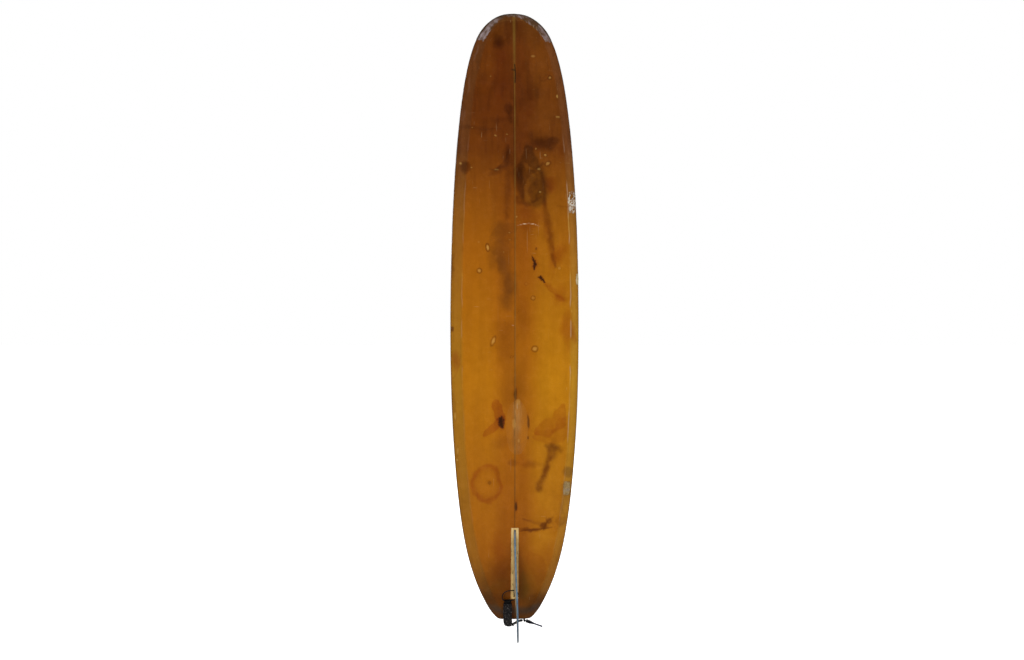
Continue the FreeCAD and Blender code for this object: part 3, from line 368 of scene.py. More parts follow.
# Stains with a lobed edge.
# columns: trail of (x, along, radius), kind, strength, softness of the edge, clear middle
TIDES = [
    ([(-84, 1004, 12), (-82, 974, 24), (-76, 945, 24), (-64, 926, 20)], "red", 0.92, 0.35, 0.0),
    ([(-70, 912, 18), (-98, 888, 18), (-120, 868, 17), (-139, 850, 9)], "red", 0.90, 0.35, 0.0),
    ([(216, 982, 12), (204, 944, 30), (186, 900, 40), (140, 876, 46), (104, 866, 26)],
     "red", 0.66, 0.40, 0.0),
    ([(210, 905, 26), (206, 850, 36), (150, 842, 40), (106, 850, 26)], "red", 0.50, 0.40, 0.0),
    ([(134, 800, 14), (156, 800, 24), (184, 798, 30), (208, 784, 24)], "umber", 0.50, 0.95, 0.0),
    ([(172, 788, 40), (166, 762, 34), (154, 730, 27), (143, 700, 22), (131, 668, 25),
      (119, 642, 32), (112, 614, 25)], "umber", 0.82, 0.95, 0.0),
    ([(-118, 634, 82), (-128, 650, 78), (-106, 622, 76)], "red", 0.80, 0.16, 0.40),
    ([(110, 600, 24), (150, 556, 46), (186, 500, 54)], "light", 0.26, 0.95, 0.0),
    ([(206, 620, 16), (226, 560, 26), (210, 500, 30)], "smoke", 0.40, 0.9, 0.0),
    ([(20, 790, 30), (30, 730, 34), (80, 716, 30)], "red", 0.26, 0.8, 0.0),
    # the long run of brown down the right of the stringer
    ([(124, 2040, 12), (128, 1990, 16), (134, 1925, 18), (141, 1866, 20), (150, 1800, 25),
      (158, 1742, 26), (166, 1690, 19), (176, 1640, 14), (186, 1612, 9)],
     "umber", 0.54, 0.98, 0.0),
    ([(132, 1900, 26), (144, 1830, 34), (152, 1750, 38), (166, 1670, 28)],
     "red", 0.48, 0.95, 0.0),
    ([(60, 1860, 52), (110, 1840, 44), (60, 1800, 40)], "red", 0.42, 0.9, 0.0),
    ([(150, 2000, 32), (160, 1960, 28)], "red", 0.55, 0.7, 0.0),
    # dark swirl at the foot of the marbled patch
    ([(6, 1930, 12), (14, 1906, 24), (40, 1898, 20), (66, 1896, 13), (92, 1908, 12),
      (118, 1930, 12)], "umber", 0.56, 0.98, 0.0),
    ([(22, 2070, 20), (22, 2010, 30), (30, 1960, 28), (40, 1925, 18)], "umber", 0.50, 0.9, 0.0),
    ([(60, 2040, 16), (86, 2052, 22), (104, 2072, 15), (124, 2084, 10)],
     "umber", 0.46, 0.95, 0.0),
    ([(64, 2018, 22), (92, 1996, 26), (112, 1962, 18), (96, 1935, 12)], "umber", 0.42, 0.9, 0.0),
    ([(-30, 2080, 20), (-28, 1990, 24), (-34, 1900, 26), (-40, 1835, 22)],
     "umber", 0.34, 0.95, 0.0),
    # smoky cloud left of the stringer
    ([(-20, 1796, 26), (-62, 1780, 40), (-84, 1738, 38), (-82, 1690, 34), (-50, 1700, 40)],
     "smoke", 0.40, 0.45, 0.0),
    ([(-70, 1650, 26), (-56, 1606, 30), (-42, 1560, 30), (-30, 1506, 28)],
     "smoke", 0.45, 0.8, 0.0),
    # tail
    ([(74, 300, 26), (108, 262, 44), (118, 214, 34), (112, 170, 14)], "red", 0.42, 0.5, 0.0),
    ([(150, 300, 24), (168, 240, 22), (160, 190, 16)], "red", 0.18, 0.8, 0.0),
    ([(-60, 340, 30), (-92, 270, 44), (-64, 220, 40)], "red", 0.16, 0.7, 0.0),
    ([(-60, 180, 40), (-110, 150, 36), (-130, 110, 30)], "olive", 0.55, 0.9, 0.0),
    ([(40, 220, 22), (48, 160, 34), (40, 110, 26)], "olive", 0.75, 0.8, 0.0),
    ([(-150, 78, 18), (-60, 46, 30), (40, 44, 30), (120, 66, 24)], "ash", 0.80, 0.9, 0.0),
    ([(40, 470, 8), (96, 450, 12), (132, 440, 17), (150, 452, 10), (140, 470, 8)],
     "umber", 0.42, 0.9, 0.0),
    # nose
    ([(-50, 2600, 20), (-76, 2640, 34), (-64, 2560, 40)], "red", 0.36, 0.9, 0.0),
    ([(100, 2172, 30), (130, 2170, 44), (170, 2150, 20)], "umber", 0.42, 0.9, 0.0),
    ([(66, 2400, 26), (90, 2360, 32), (60, 2320, 26)], "red", 0.34, 0.7, 0.0),
    ([(-100, 2460, 10), (-106, 2420, 14), (-112, 2380, 16)], "umber", 0.26, 0.9, 0.0),
    ([(-16, 2340, 14), (-20, 2300, 18), (-14, 2270, 10)], "umber", 0.40, 0.8, 0.0),
    ([(-30, 2160, 12), (-28, 2110, 16), (-44, 2070, 14), (-84, 2052, 8)],
     "umber", 0.38, 0.8, 0.0),
]
# Scorches, nearly black in the middle and rust at the rim.
# columns: trail of (x, along, radius), x beyond which the scorch is cut off
BURNS = [
    ([(75, 1662, 2.2), (80, 1650, 4.0), (88, 1634, 7.5), (92, 1622, 8.0), (87, 1610, 7.0),
      (89, 1598, 3.0)], None),
    ([(114, 1572, 3.0), (118, 1562, 7.5), (124, 1554, 6.0), (132, 1542, 2.2)], None),
    ([(106, 1566, 2.5), (112, 1563, 4.0)], None),
    ([(-60, 936, 6.0), (-63, 922, 15.0), (-63, 906, 18.0), (-60, 890, 10.0)], -46.5),
]
# the patch of old water stain right of the stringer: x, along, radius
MARBLED = [(60, 2140, 30), (66, 2040, 74), (84, 1960, 84), (92, 1930, 60)]

# kind of stain: multiplier, light added
KINDS = {
    "dark": ((0.38, 0.25, 0.22), 0.0), "red": ((0.72, 0.46, 0.22), 0.0),
    "smoke": ((0.56, 0.55, 0.95), 0.001), "olive": ((0.82, 0.98, 1.35), 0.0),
    "umber": ((0.32, 0.18, 0.16), 0.0), "lilac": ((1.05, 1.25, 2.2), 0.05),
    "ash": ((0.50, 0.72, 1.6), 0.012), "light": ((1.30, 1.52, 2.1), 0.0015),
}
BURN = srgb(46, 22, 10)

# colour of the aged resin along the board; darker towards both ends, partly from age and partly
# as painted shade where the rocker turns the ends away from the light
TONE = {"end": (80, 40, 5), "brown": (100, 48, 5), "amber": (150, 85, 5), "honey": (170, 105, 5)}
ALONG = [(0, "end"), (300, "amber"), (1100, "honey"), (1700, "amber"), (2150, "brown"),
         (2600, "brown"), (LENGTH, "end")]
# how far each lengthwise zone leans from those tones: red, green, added blue; the darker middle
# and paler sides are partly the resin's own tone and partly a painted gradient of reflected light
LEAN = {"lap_left": (0.92, 1.0, 10), "left": (1.0, 1.0, 0), "middle": (0.93, 0.88, 0),
        "right": (1.03, 1.08, 2), "lap_right": (1.03, 1.18, 18)}
ZONES = {zone: [(at, TONE[name][0] * red, TONE[name][1] * green, TONE[name][2] + blue)
                for at, name in ALONG]
         for zone, (red, green, blue) in LEAN.items()}
# columns: along, red, green, blue
STRINGER_TONE = [(0, 90, 60, 25), (1400, 120, 88, 40), (LENGTH, 105, 75, 25)]
# columns: along, half width
STRINGER_WIDTH = [(0, 1.6), (500, 1.8), (900, 3.0), (1500, 2.6), (2000, 2.8), (2350, 3.6),
                  (2480, 4.0), (2560, 6.0), (LENGTH, 7.0)]
# columns: along, how strongly it shows
STRINGER_SHOW = [(0, 0.5), (300, 0.6), (1200, 0.80), (2100, 0.80), (2400, 0.78), (2500, 0.75),
                 (2560, 0.85), (LENGTH, 0.75)]


def ramp(rows, along):
    """Colour at each station from rows of (along, red, green, blue)."""
    rows = np.array(rows, float)
    colours = np.stack([srgb(*row[1:]) for row in rows])
    return np.stack([np.interp(along, rows[:, 0], colours[:, k]) for k in range(3)], axis=-1)


def soil(colour, amount, kind):
    tint, added = KINDS[kind]
    return stain(colour, amount, tint) + added * amount[..., None]


def to_segment(x, along, start, end):
    """Share of the way from start to end, and distance from that segment."""
    step_x, step_along = end[0] - start[0], end[1] - start[1]
    part = ((x - start[0]) * step_x + (along - start[1]) * step_along) / (
        step_x ** 2 + step_along ** 2)
    part = np.clip(part, 0, 1)
    return part, np.hypot(x - start[0] - part * step_x, along - start[1] - part * step_along)


def trail(x, along, discs):
    """1 in the middle of a trail of discs, 0 at its edge, negative outside."""
    depth = np.full(x.shape, -9.0)
    for start, end in zip(discs, discs[1:]):
        part, distance = to_segment(x, along, start, end)
        depth = np.maximum(depth, 1 - distance / (start[2] + (end[2] - start[2]) * part))
    return depth


def beside(x, along, points, margin):
    """True within the points' bounding box, widened by a margin."""
    low, high = points[:, :2].min(0) - margin, points[:, :2].max(0) + margin
    return (x > low[0]) & (x < high[0]) & (along > low[1]) & (along < high[1])


def beside_trail(x, along, discs, margin):
    discs = np.array(discs, float)
    return beside(x, along, discs, discs[:, 2].max() + margin)


def ellipse(x, along, half_x, half_along, degrees):
    """Radius in a turned ellipse about the origin, 1 on its edge."""
    angle = math.radians(degrees)
    across = (x * math.cos(angle) + along * math.sin(angle)) / half_x
    up = (-x * math.sin(angle) + along * math.cos(angle)) / half_along
    return np.sqrt(across * across + up * up)


def by_side(x, left, right):
    return np.where((x < 0)[..., None], left, right)


def bottom_ground(x, along, warp, half, to_rail, inset):
    """Resin colour by zone, whose tones hold some painted shade and reflection, with cloudy
    staining, streaks and mottling.
    """
    colour = ramp(ZONES["middle"], along + warp)
    inner = smooth(0.10, 0.46, np.abs(x / half) + 0.10 * fbm(x, along, 260, seed=31))
    colour = mix(colour, by_side(x, ramp(ZONES["left"], along + warp),
                                 ramp(ZONES["right"], along + warp)), inner)
    lap = smooth(-9, 9, inset + 2 * wander(along, 60, seed=41) - to_rail)
    lap = np.where((along < 2640) & (along > 40), lap, lap * 0.6)
    colour = mix(colour, by_side(x, ramp(ZONES["lap_left"], along),
                                 ramp(ZONES["lap_right"], along)), lap)
    # clouds and fine mottling, stronger towards the nose
    nose = smooth(1900, 2250, along)
    colour = scale(colour, 1 + 0.06 * fbm(x, along, 210, octaves=4, seed=51)
                   + (0.035 + 0.085 * nose) * fbm(x, along, 46, octaves=4, seed=52))
    # streaks that ran down the board
    bent = x + 6 * fbm(x, along, 60, octaves=2, seed=54)
    runs = smooth(0.10, 0.75, noise(bent, along / 5.0, 13, seed=53)) * (0.30 * nose + 0.05)
    colour = stain(colour, runs, (0.62, 0.52, 0.5))
    tilted = noise(x + 0.05 * along, along / 22.0, 9, seed=63)
    colour = scale(colour, 1 + 0.05 * tilted * smooth(1500, 2300, along))
    return scale(colour, 1 + 0.018 * noise(x, along / 30.0, 13, seed=64))


def add_blots(colour, x, along, warp_x, warp):
    for at_x, at_along, half_x, half_along, angle, kind, strength in BLOTS:
        big = max(half_x, half_along)
        sel = (np.abs(x - at_x) < 2.2 * big + 40) & (np.abs(along - at_along) < 2.2 * big + 40)
        if not sel.any():
            continue
        strength = min(0.96, strength * (1.0 if kind in ("burn", "light") else 1.45))
        soft = big > 28
        drift = 1.0 if soft else 0.35       # how much of the warp bends the outline
        near_x, near_along = x[sel], along[sel]
        radius = ellipse(near_x + drift * warp_x[sel] - at_x,
                         near_along + drift * warp[sel] - at_along, half_x, half_along, angle)
        radius = radius * (1 + 0.22 * fbm(near_x, near_along, max(8, big * 0.6), seed=71))
        if kind == "burn":
            grain = 0.8 + 0.25 * noise(near_x, near_along, 6, seed=72)[..., None]
            charred = mix(colour[sel], BURN * grain, smooth(1.30, 0.72, radius) * strength)
            halo = smooth(2.4, 0.9, radius) * 0.45 * strength
            colour[sel] = stain(charred, halo, (0.72, 0.46, 0.25))
        else:
            amount = smooth(1.45, 0.25, radius) if soft else smooth(1.35, 0.55, radius)
            ringed = 0.28 if kind in ("red", "dark", "smoke") else 0.0
            amount = np.clip(amount + bell(radius - 1.0, 0.13) * ringed * amount, 0, 1)
            colour[sel] = soil(colour[sel], amount * strength, kind)


def add_marbling(colour, x, along):
    """Veins and pale pools of old water stain."""
    zone = trail(x + 12 * fbm(x, along, 60, seed=731), along, MARBLED)
    sel = zone > -0.1
    if not sel.any():
        return
    near_x, near_along = x[sel], along[sel]
    inside = smooth(-0.05, 0.45, zone[sel])
    bent_x = near_x + 46 * fbm(near_x, near_along, 78, seed=732)
    bent_along = near_along + 60 * fbm(near_x, near_along, 84, seed=733)
    vein = fbm(bent_x, bent_along * 0.7, 62, octaves=4, seed=734)
    dark = (smooth(0.26, 0.0, np.abs(vein + 0.05)) * 0.50 + smooth(-0.02, -0.35, vein) * 0.60
            + 0.22 * smooth(0.0, 0.5, fbm(bent_x, bent_along, 26, seed=735)))
    pale = inside * smooth(0.10, 0.42, vein)
    patch = stain(colour[sel], inside * dark, (0.50, 0.44, 0.40))
    patch = patch * (1 + pale[..., None] * np.array([0.10, 0.24, 0.9]))
    colour[sel] = stain(patch, inside * 0.55, (0.62, 0.66, 0.9))


def add_tides(colour, x, along):
    for discs, kind, strength, softness, clear in TIDES:
        sel = beside_trail(x, along, discs, 40)
        if not sel.any():
            continue
        near_x, near_along = x[sel], along[sel]
        size = max(disc[2] for disc in discs)

        def lobes(seed):
            return (0.35 * size * fbm(near_x, near_along, 1.6 * size + 14, seed=seed)
                    + 0.16 * size * fbm(near_x, near_along, 0.5 * size + 6, seed=seed + 1))

        depth = trail(near_x + lobes(741), near_along + lobes(743), discs)
        if softness > 0.5:
            amount = smooth(0.0, softness, depth)
        else:
            amount = smooth(-0.03, 0.12 + 0.4 * softness, depth)
            amount = amount * (0.80 + 0.20 * smooth(0.5, 0.0, depth))
        rim = bell(depth - 0.10, 0.055) * (0.42 if softness < 0.5 else 0.0)
        amount = amount * (0.86 + 0.30 * fbm(near_x, near_along, 24, seed=745))
        if clear > 0:
            amount = amount * (1 - 0.75 * smooth(clear - 0.16, clear + 0.14, depth))
            amount = amount * smooth(-0.02, 0.24, depth)
            rim = 0.5 * rim
        amount = np.clip(amount + rim * amount, 0, 1) * strength
        colour[sel] = soil(colour[sel], amount, kind)


def add_burns(colour, x, along):
    for discs, cut in BURNS:
        sel = beside_trail(x, along, discs, 26)
        if not sel.any():
            continue
        near_x, near_along = x[sel], along[sel]
        jag = (4.2 * fbm(near_x, near_along, 8, seed=751)
               + 2.2 * noise(near_x, near_along, 3.2, seed=752))
        depth = trail(near_x + jag,
                      near_along + 4.2 * fbm(near_x, near_along, 9, seed=753), discs)
        gate = 1.0
        if cut is not None:
            ragged = near_x + 1.2 * noise(near_x, near_along, 5, seed=754)
            gate = smooth(cut + 1.5, cut - 1.5, ragged)
        scorched = stain(colour[sel], smooth(-1.5, 0.3, depth) * 0.45 * gate,
                         (0.62, 0.40, 0.22))
        core = smooth(0.05, 0.65, depth + 0.25 * noise(near_x, near_along, 5, seed=755))
        char = mix(srgb(92, 36, 8), srgb(36, 15, 7), core)
        colour[sel] = mix(scorched, char, smooth(-0.10, 0.22, depth) * 0.93 * gate)


def lap_lines(colour, x, along, to_rail, inset):
    """The lap's scuffed pale edge, which comes and goes, and the fainter lines beside it."""
    edge = to_rail - inset - 1.5 * wander(along, 45, seed=81)
    shows = (smooth(-0.25, 0.5, wander(along, 70, seed=82)) * smooth(150, 420, along)
             * smooth(2260, 2020, along))
    shows = shows * np.where(x > 0, 0.80 * smooth(600, 1000, along) + 0.15,
                             0.24 * smooth(900, 1300, along) + 0.08)
    line = bell(edge, np.where(x > 0, 2.1, 1.9)) * shows
    yellow = smooth(-0.2, 0.5, wander(along, 90, seed=84))
    colour = mix(colour, mix(srgb(176, 150, 128), srgb(190, 150, 66), yellow), line * 0.60)
    colour = darken(colour, 0.30 * bell(edge + 4.5, 2.2) * (0.25 + 0.3 * shows))
    # the bottom glass's own cut edge, seen through the lap
    return darken(colour, 0.10 * bell(to_rail - 14, 3.0) * (1 + wander(along, 90, seed=83)))


def stringer_line(colour, x, along):
    """The stringer under the glass, with a dark glue line on each side."""
    half = lookup(STRINGER_WIDTH, along)
    line = np.exp(-np.abs(x / half) ** 2.6) * lookup(STRINGER_SHOW, along)
    line = line * (0.78 + 0.22 * wander(along, 40, seed=91))
    colour = mix(colour, ramp(STRINGER_TONE, along), line)
    glue = (bell(x + half + 0.9, 1.1) * 0.62 * smooth(2540, 2400, along)
            + bell(x - half - 0.8, 0.8) * 0.18)
    return darken(colour, glue)


def add_nicks(colour, wear, x, along):
    """Bubbles and nicks: pale middle, dark rim."""
    for at_x, at_along, half_x, half_along, angle, rim, pale in NICKS:
        big = max(half_x, half_along)
        sel = (np.abs(x - at_x) < 3 * big + 8) & (np.abs(along - at_along) < 3 * big + 8)
        if not sel.any():
            continue
        near_x, near_along = x[sel], along[sel]
        radius = ellipse(near_x + 1.2 * noise(near_x, near_along, 7, seed=101) - at_x,
                         near_along + 1.2 * noise(near_x, near_along, 7, seed=102) - at_along,
                         half_x, half_along, angle)
        middle = smooth(1.10, 0.45, radius) * pale
        ringed = stain(colour[sel], bell(radius - 1.25, 0.30) * rim * 0.85, (0.34, 0.27, 0.3))
        colour[sel] = mix(ringed, srgb(200, 160, 84), 0.45 * middle)
        wear[sel] = np.maximum(wear[sel], middle * 0.6)


def add_lines(colour, wear, x, along, warp_x, warp):
    for points, width, kind, strength in LINES:
        points = np.array(points, float)
        sel = beside(x, along, points, 20)
        if not sel.any():
            continue
        drift = 0.0 if kind in ("white", "black") else 0.35
        near_x, near_along = x[sel] + drift * warp_x[sel], along[sel] + drift * warp[sel]
        distance = np.full(near_x.shape, 1e9)
        for start, end in zip(points, points[1:]):
            distance = np.minimum(distance, to_segment(near_x, near_along, start, end)[1])
        amount = bell(distance, 0.62 * width) * strength
        if kind == "white":
            # a scratch that fades towards its ends
            half = 0.5 * (points[:, 0].max() - points[:, 0].min())
            from_middle = np.abs(near_x - points[:, 0].mean())
            amount = amount * (0.8 + 0.2 * noise(near_x, near_along, 9, seed=111))
            amount = amount * (0.12 + 0.88 * smooth(half, 0.35 * half, from_middle))
            colour[sel] = mix(colour[sel], srgb(214, 186, 150), amount)
            wear[sel] = np.maximum(wear[sel], amount)
        elif kind == "black":
            colour[sel] = mix(colour[sel], srgb(28, 20, 12), amount)
        else:
            colour[sel] = soil(colour[sel], amount, kind)


def paint_bottom(x, along, out):
    """Linear colour and wear (0..1) of the bottom; out is 1 at the rail apex."""
    warp_x = 16 * fbm(x, along, 90, seed=11) + 5 * fbm(x, along, 22, seed=12)
    warp = 22 * fbm(x, along, 110, seed=21) + 6 * fbm(x, along, 24, seed=22)
    half = np.maximum(half_width(along), MIN_HALF_WIDTH)
    to_rail = half - np.abs(x)
    inset = np.where(x >= 0, LAP_RIGHT, LAP_LEFT)
    wear = np.zeros_like(x)
    colour = bottom_ground(x, along, warp, half, to_rail, inset)
    add_blots(colour, x, along, warp_x, warp)
    add_marbling(colour, x, along)
    add_tides(colour, x, along)
    add_burns(colour, x, along)
    colour = lap_lines(colour, x, along, to_rail, inset)
    colour = stringer_line(colour, x, along)
    add_nicks(colour, wear, x, along)
    add_lines(colour, wear, x, along, warp_x, warp)
    colour = darken(colour, 0.50 * smooth(0.965, 1.0, out))     # darker on the very rail
    # hairline scratches along the board
    hairs = (smooth(0.93, 0.99, noise(x + 0.04 * along, along / 60.0, 2.2, seed=121))
             * smooth(0.1, 0.7, noise(x, along, 240, seed=122)))
    colour = mix(colour, srgb(190, 150, 90), hairs * 0.035)
    return np.clip(colour, 0, 1), np.clip(wear, 0, 1)


def bottom_colour(x, along):
    return paint_bottom(x, along, np.abs(x) / half_width(along))[0]


DECK_CELL = 62.0    # spacing of the deck's sparse cracks and bubbles


def paint_deck(x, along, out):
    """Colour and wear of the deck: duller where trodden, with a few old stains."""
    half = np.maximum(half_width(along), MIN_HALF_WIDTH)
    to_rail, part = half - np.abs(x), np.abs(x) / half
    shifted = along + 26 * fbm(x, along, 130, seed=221)
    # the zone tones carry painted shade at the ends and a painted reflection gradient across, as
    # on the bottom
    colour = 0.5 * (ramp(ZONES["left"], shifted) + ramp(ZONES["middle"], shifted))
    outer = smooth(0.45, 0.85, part + 0.12 * fbm(x, along, 240, seed=231))
    colour = mix(colour, ramp(ZONES["lap_left"], along), 0.55 * outer)
    lap = smooth(-2, 4, LAP_ENDS + 2 * wander(along, 60, seed=241) - to_rail)
    colour = darken(colour, 0.10 * lap)
    colour = scale(colour, 1 + 0.14 * fbm(x, along, 230, octaves=4, seed=251)
                   + 0.06 * fbm(x, along, 42, octaves=4, seed=252)
                   + 0.03 * noise(x, along / 30.0, 12, seed=264))
    # broad stains and the outlines of dried pools
    blot = smooth(0.22, 0.60, fbm(x + 34 * fbm(x, along, 70, seed=265),
                                  along + 30 * fbm(x, along, 60, seed=268),
                                  170, octaves=4, seed=266))
    colour = stain(colour, blot * 0.42, (0.52, 0.40, 0.34))
    colour = darken(colour, 0.20 * bell(fbm(x, along, 150, seed=267) - 0.28, 0.02))
    tread = smooth(0.62, 0.15, part) * smooth(250, 700, along) * smooth(2250, 1500, along)
    dull = np.clip(tread * (0.5 + 0.5 * fbm(x, along, 60, octaves=4, seed=271)), 0, 1)
    colour = mix(colour, srgb(158, 112, 52), dull * 0.30)
    # scuffed edge of the lapped glass
    edge = to_rail - LAP_ENDS - 1.5 * wander(along, 45, seed=281)
    shows = (smooth(-0.3, 0.5, wander(along, 80, seed=282)) * smooth(150, 420, along)
             * smooth(2600, 2300, along))
    colour = mix(colour, srgb(178, 140, 96), bell(edge, 1.6) * shows * 0.5)
    colour = darken(colour, 0.22 * bell(edge + 4, 2.2))
    line = np.exp(-np.abs(x / 3.1) ** 3) * 0.72 * (0.8 + 0.2 * wander(along, 30, seed=291))
    colour = mix(colour, ramp(STRINGER_TONE, along) * 0.8, line)
    # small star cracks and bubbles, sparse
    i, j = np.floor(x / DECK_CELL), np.floor(along / DECK_CELL)
    centre_x = (i + 0.2 + 0.6 * lattice(i, j, 301)) * DECK_CELL
    centre_along = (j + 0.2 + 0.6 * lattice(i, j, 302)) * DECK_CELL
    keep = lattice(i, j, 303) > 0.80
    size = 1.8 + 4.2 * lattice(i, j, 304) ** 2
    radius = (np.hypot(x - centre_x, along - centre_along) / size
              * (1 + 0.2 * noise(x, along, 5, seed=305)))
    colour = darken(colour, np.where(keep, bell(radius - 1, 0.25) * 0.45, 0))
    colour = mix(colour, srgb(176, 130, 62),
                 np.where(keep, smooth(0.9, 0.4, radius) * 0.30, 0.0))
    colour = darken(colour, 0.35 * smooth(0.965, 1.0, out))
    return np.clip(colour, 0, 1), dull * 0.55


# ------------------------------------------------------------------ dents pressed into the skin
# columns: x, along, radius, height (negative is inwards)
DENTS_BOTTOM = [
    (-124, 1708, 9, -0.8), (-163, 1598, 9, -0.8), (-101, 1272, 12, -0.9), (91, 1238, 11, -0.8),
    (82, 1470, 8, -0.5), (162, 2483, 8, -0.9), (197, 2398, 6, -0.7), (95, 1636, 10, -0.9),
    (125, 1560, 9, -0.9), (-56, 908, 16, -1.4), (-117, 627, 22, -0.8), (120, 640, 26, -0.7),
    (60, 470, 18, -0.4), (-180, 1100, 20, -0.4), (150, 1000, 24, -0.5), (0, 2500, 7, -0.6),
    (3, 2480, 5, -0.7), (3, 2460, 5, -0.7)]
_random = np.random.default_rng(21)
DENTS_DECK = [(float(_random.uniform(-150, 150)), float(_random.uniform(420, 1900)),
               float(_random.uniform(14, 34)), -float(_random.uniform(0.4, 1.5)))
              for _ in range(46)]


def relief(x, along, bottom=True):
    """Height in mm added along the outward normal: waves, dents and the stringer's ridge."""
    height = (0.22 * fbm(x, along, 70, seed=401)
              + 0.05 * fbm(x, along, 14, octaves=2, seed=402))
    for at_x, at_along, radius, depth in DENTS_BOTTOM if bottom else DENTS_DECK:
        height = height + depth * bell(np.hypot(x - at_x, along - at_along), radius)
    return height + 0.35 * bell(x, 2.6) * (1 if bottom else 0.7)


# ------------------------------------------------------------------ mesh helpers
def shade_smooth(piece):
    faces = piece.data.polygons
    faces.foreach_set("use_smooth", np.ones(len(faces), bool))


def new_object(name, verts, faces, smooth_faces=True):
    mesh = bpy.data.meshes.new(name)
    mesh.from_pydata([tuple(map(float, vert)) for vert in np.asarray(verts)], [],
                     [tuple(map(int, face)) for face in faces])
    mesh.validate()
    mesh.update()
    piece = bpy.data.objects.new(name, mesh)
    if smooth_faces:
        shade_smooth(piece)
    bpy.context.scene.collection.objects.link(piece)
    return piece


def coords(piece):
    values = np.empty(len(piece.data.vertices) * 3, np.float64)
    piece.data.vertices.foreach_get("co", values)
    return values.reshape(-1, 3)


def normals(piece):
    values = np.empty(len(piece.data.vertices) * 3, np.float32)
    piece.data.vertices.foreach_get("normal", values)
    return values.reshape(-1, 3).astype(float)


def set_coords(piece, values):
    piece.data.vertices.foreach_set("co", np.asarray(values, float).ravel())
    piece.data.update()


def set_paint(piece, colour, wear):
    """Store colour with wear in its alpha; one of each may stand for every vertex."""
    count = len(piece.data.vertices)
    rgba = np.empty((count, 4))
    rgba[:, :3], rgba[:, 3] = colour, wear
    layer = piece.data.attributes.new("paint", "FLOAT_COLOR", "POINT")
    layer.data.foreach_set("color", rgba.astype(np.float32).ravel())


def flip(piece):
    piece.data.flip_normals()
    piece.data.update()


def face_outwards(piece):
    work = bmesh.new()
    work.from_mesh(piece.data)
    bmesh.ops.recalc_face_normals(work, faces=work.faces)
    work.to_mesh(piece.data)
    work.free()


def grid_faces(index, flip=False, wrap_i=False, wrap_j=False):
    """Faces over a grid of vertex numbers; quads with repeated corners become triangles."""
    if wrap_i:
        index = np.concatenate([index, index[:1]], axis=0)
    if wrap_j:
        index = np.concatenate([index, index[:, :1]], axis=1)
    corners = [index[:-1, :-1], index[1:, :-1], index[1:, 1:], index[:-1, 1:]]
    if flip:
        corners = [corners[k] for k in (0, 3, 2, 1)]
    quads = np.stack([corner.ravel() for corner in corners], axis=1)
    faces = [list(dict.fromkeys(quad)) for quad in quads]
    return [face for face in faces if len(face) >= 3]


def end_caps(index):
    return [list(index[0][::-1]), list(index[-1])]


def apply_modifiers(piece):
    graph = bpy.context.evaluated_depsgraph_get()
    mesh = bpy.data.meshes.new_from_object(piece.evaluated_get(graph),
                                           preserve_all_data_layers=True, depsgraph=graph)
    old = piece.data
    piece.modifiers.clear()
    piece.data = mesh
    bpy.data.meshes.remove(old)


def join(name, *pieces):
    """One mesh out of several that share a finish."""
    work = bmesh.new()
    for piece in pieces:
        work.from_mesh(piece.data)
    mesh = bpy.data.meshes.new(name)
    work.to_mesh(mesh)
    work.free()
    for piece in pieces:
        bpy.data.objects.remove(piece)
    joined = bpy.data.objects.new(name, mesh)
    bpy.context.scene.collection.objects.link(joined)
    return joined


# ------------------------------------------------------------------ bottom and deck skins
# columns round one side's outline, rows over the bottom, rows over deck and rail
COLUMNS, ROWS_BOTTOM, ROWS_DECK = ((900, 100, 108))

column_run = np.linspace(0, RIM, COLUMNS)
column_x, column_along = rim_x(column_run), rim_along(column_run)
column_x[0] = column_x[-1] = 0.0
column_reach = np.hypot(column_x, column_along - spine(column_along))


def lap_out(inset):
    """How far out (0..1) the lap's edge lies on each column."""
    depth = LAP_ENDS + (inset - LAP_ENDS) * smooth(0, 1, np.minimum(1, np.abs(column_x) / 120.0))
    return 1 - np.minimum(depth, 0.62 * column_reach) / column_reach


def weld_halves(name, turn_right, turn_left, shared_row):
    """Both halves as one sheet; also the turn and row of each vertex."""
    rim = column_x[:, None], column_along[:, None]
    right, left = skin(*rim, turn_right), skin(*rim, turn_left)
    verts_right = world(*right).reshape(-1, 3)
    verts_left = world(-left[0], left[1], left[2]).reshape(-1, 3)
    shape = turn_right.shape
    index_right = np.arange(turn_right.size).reshape(shape)
    own = np.ones(shape, bool)
    own[0, :] = own[-1, :] = False
    own[:, shared_row] = False
    index_left = index_right.copy()
    index_left[own] = turn_right.size + np.arange(own.sum())
    row = np.tile(np.arange(shape[1]), (shape[0], 1))
    piece = new_object(name, np.concatenate([verts_right, verts_left[own.ravel()]]),
                       grid_faces(index_right) + grid_faces(index_left, flip=True))
    return (piece, np.concatenate([turn_right.ravel(), turn_left[own]]),
            np.concatenate([row.ravel(), row[own]]))


def plan(places):
    """x, along in mm of scene positions."""
    return places[:, 0] * 1000, places[:, 2] * 1000 - BASE_Z


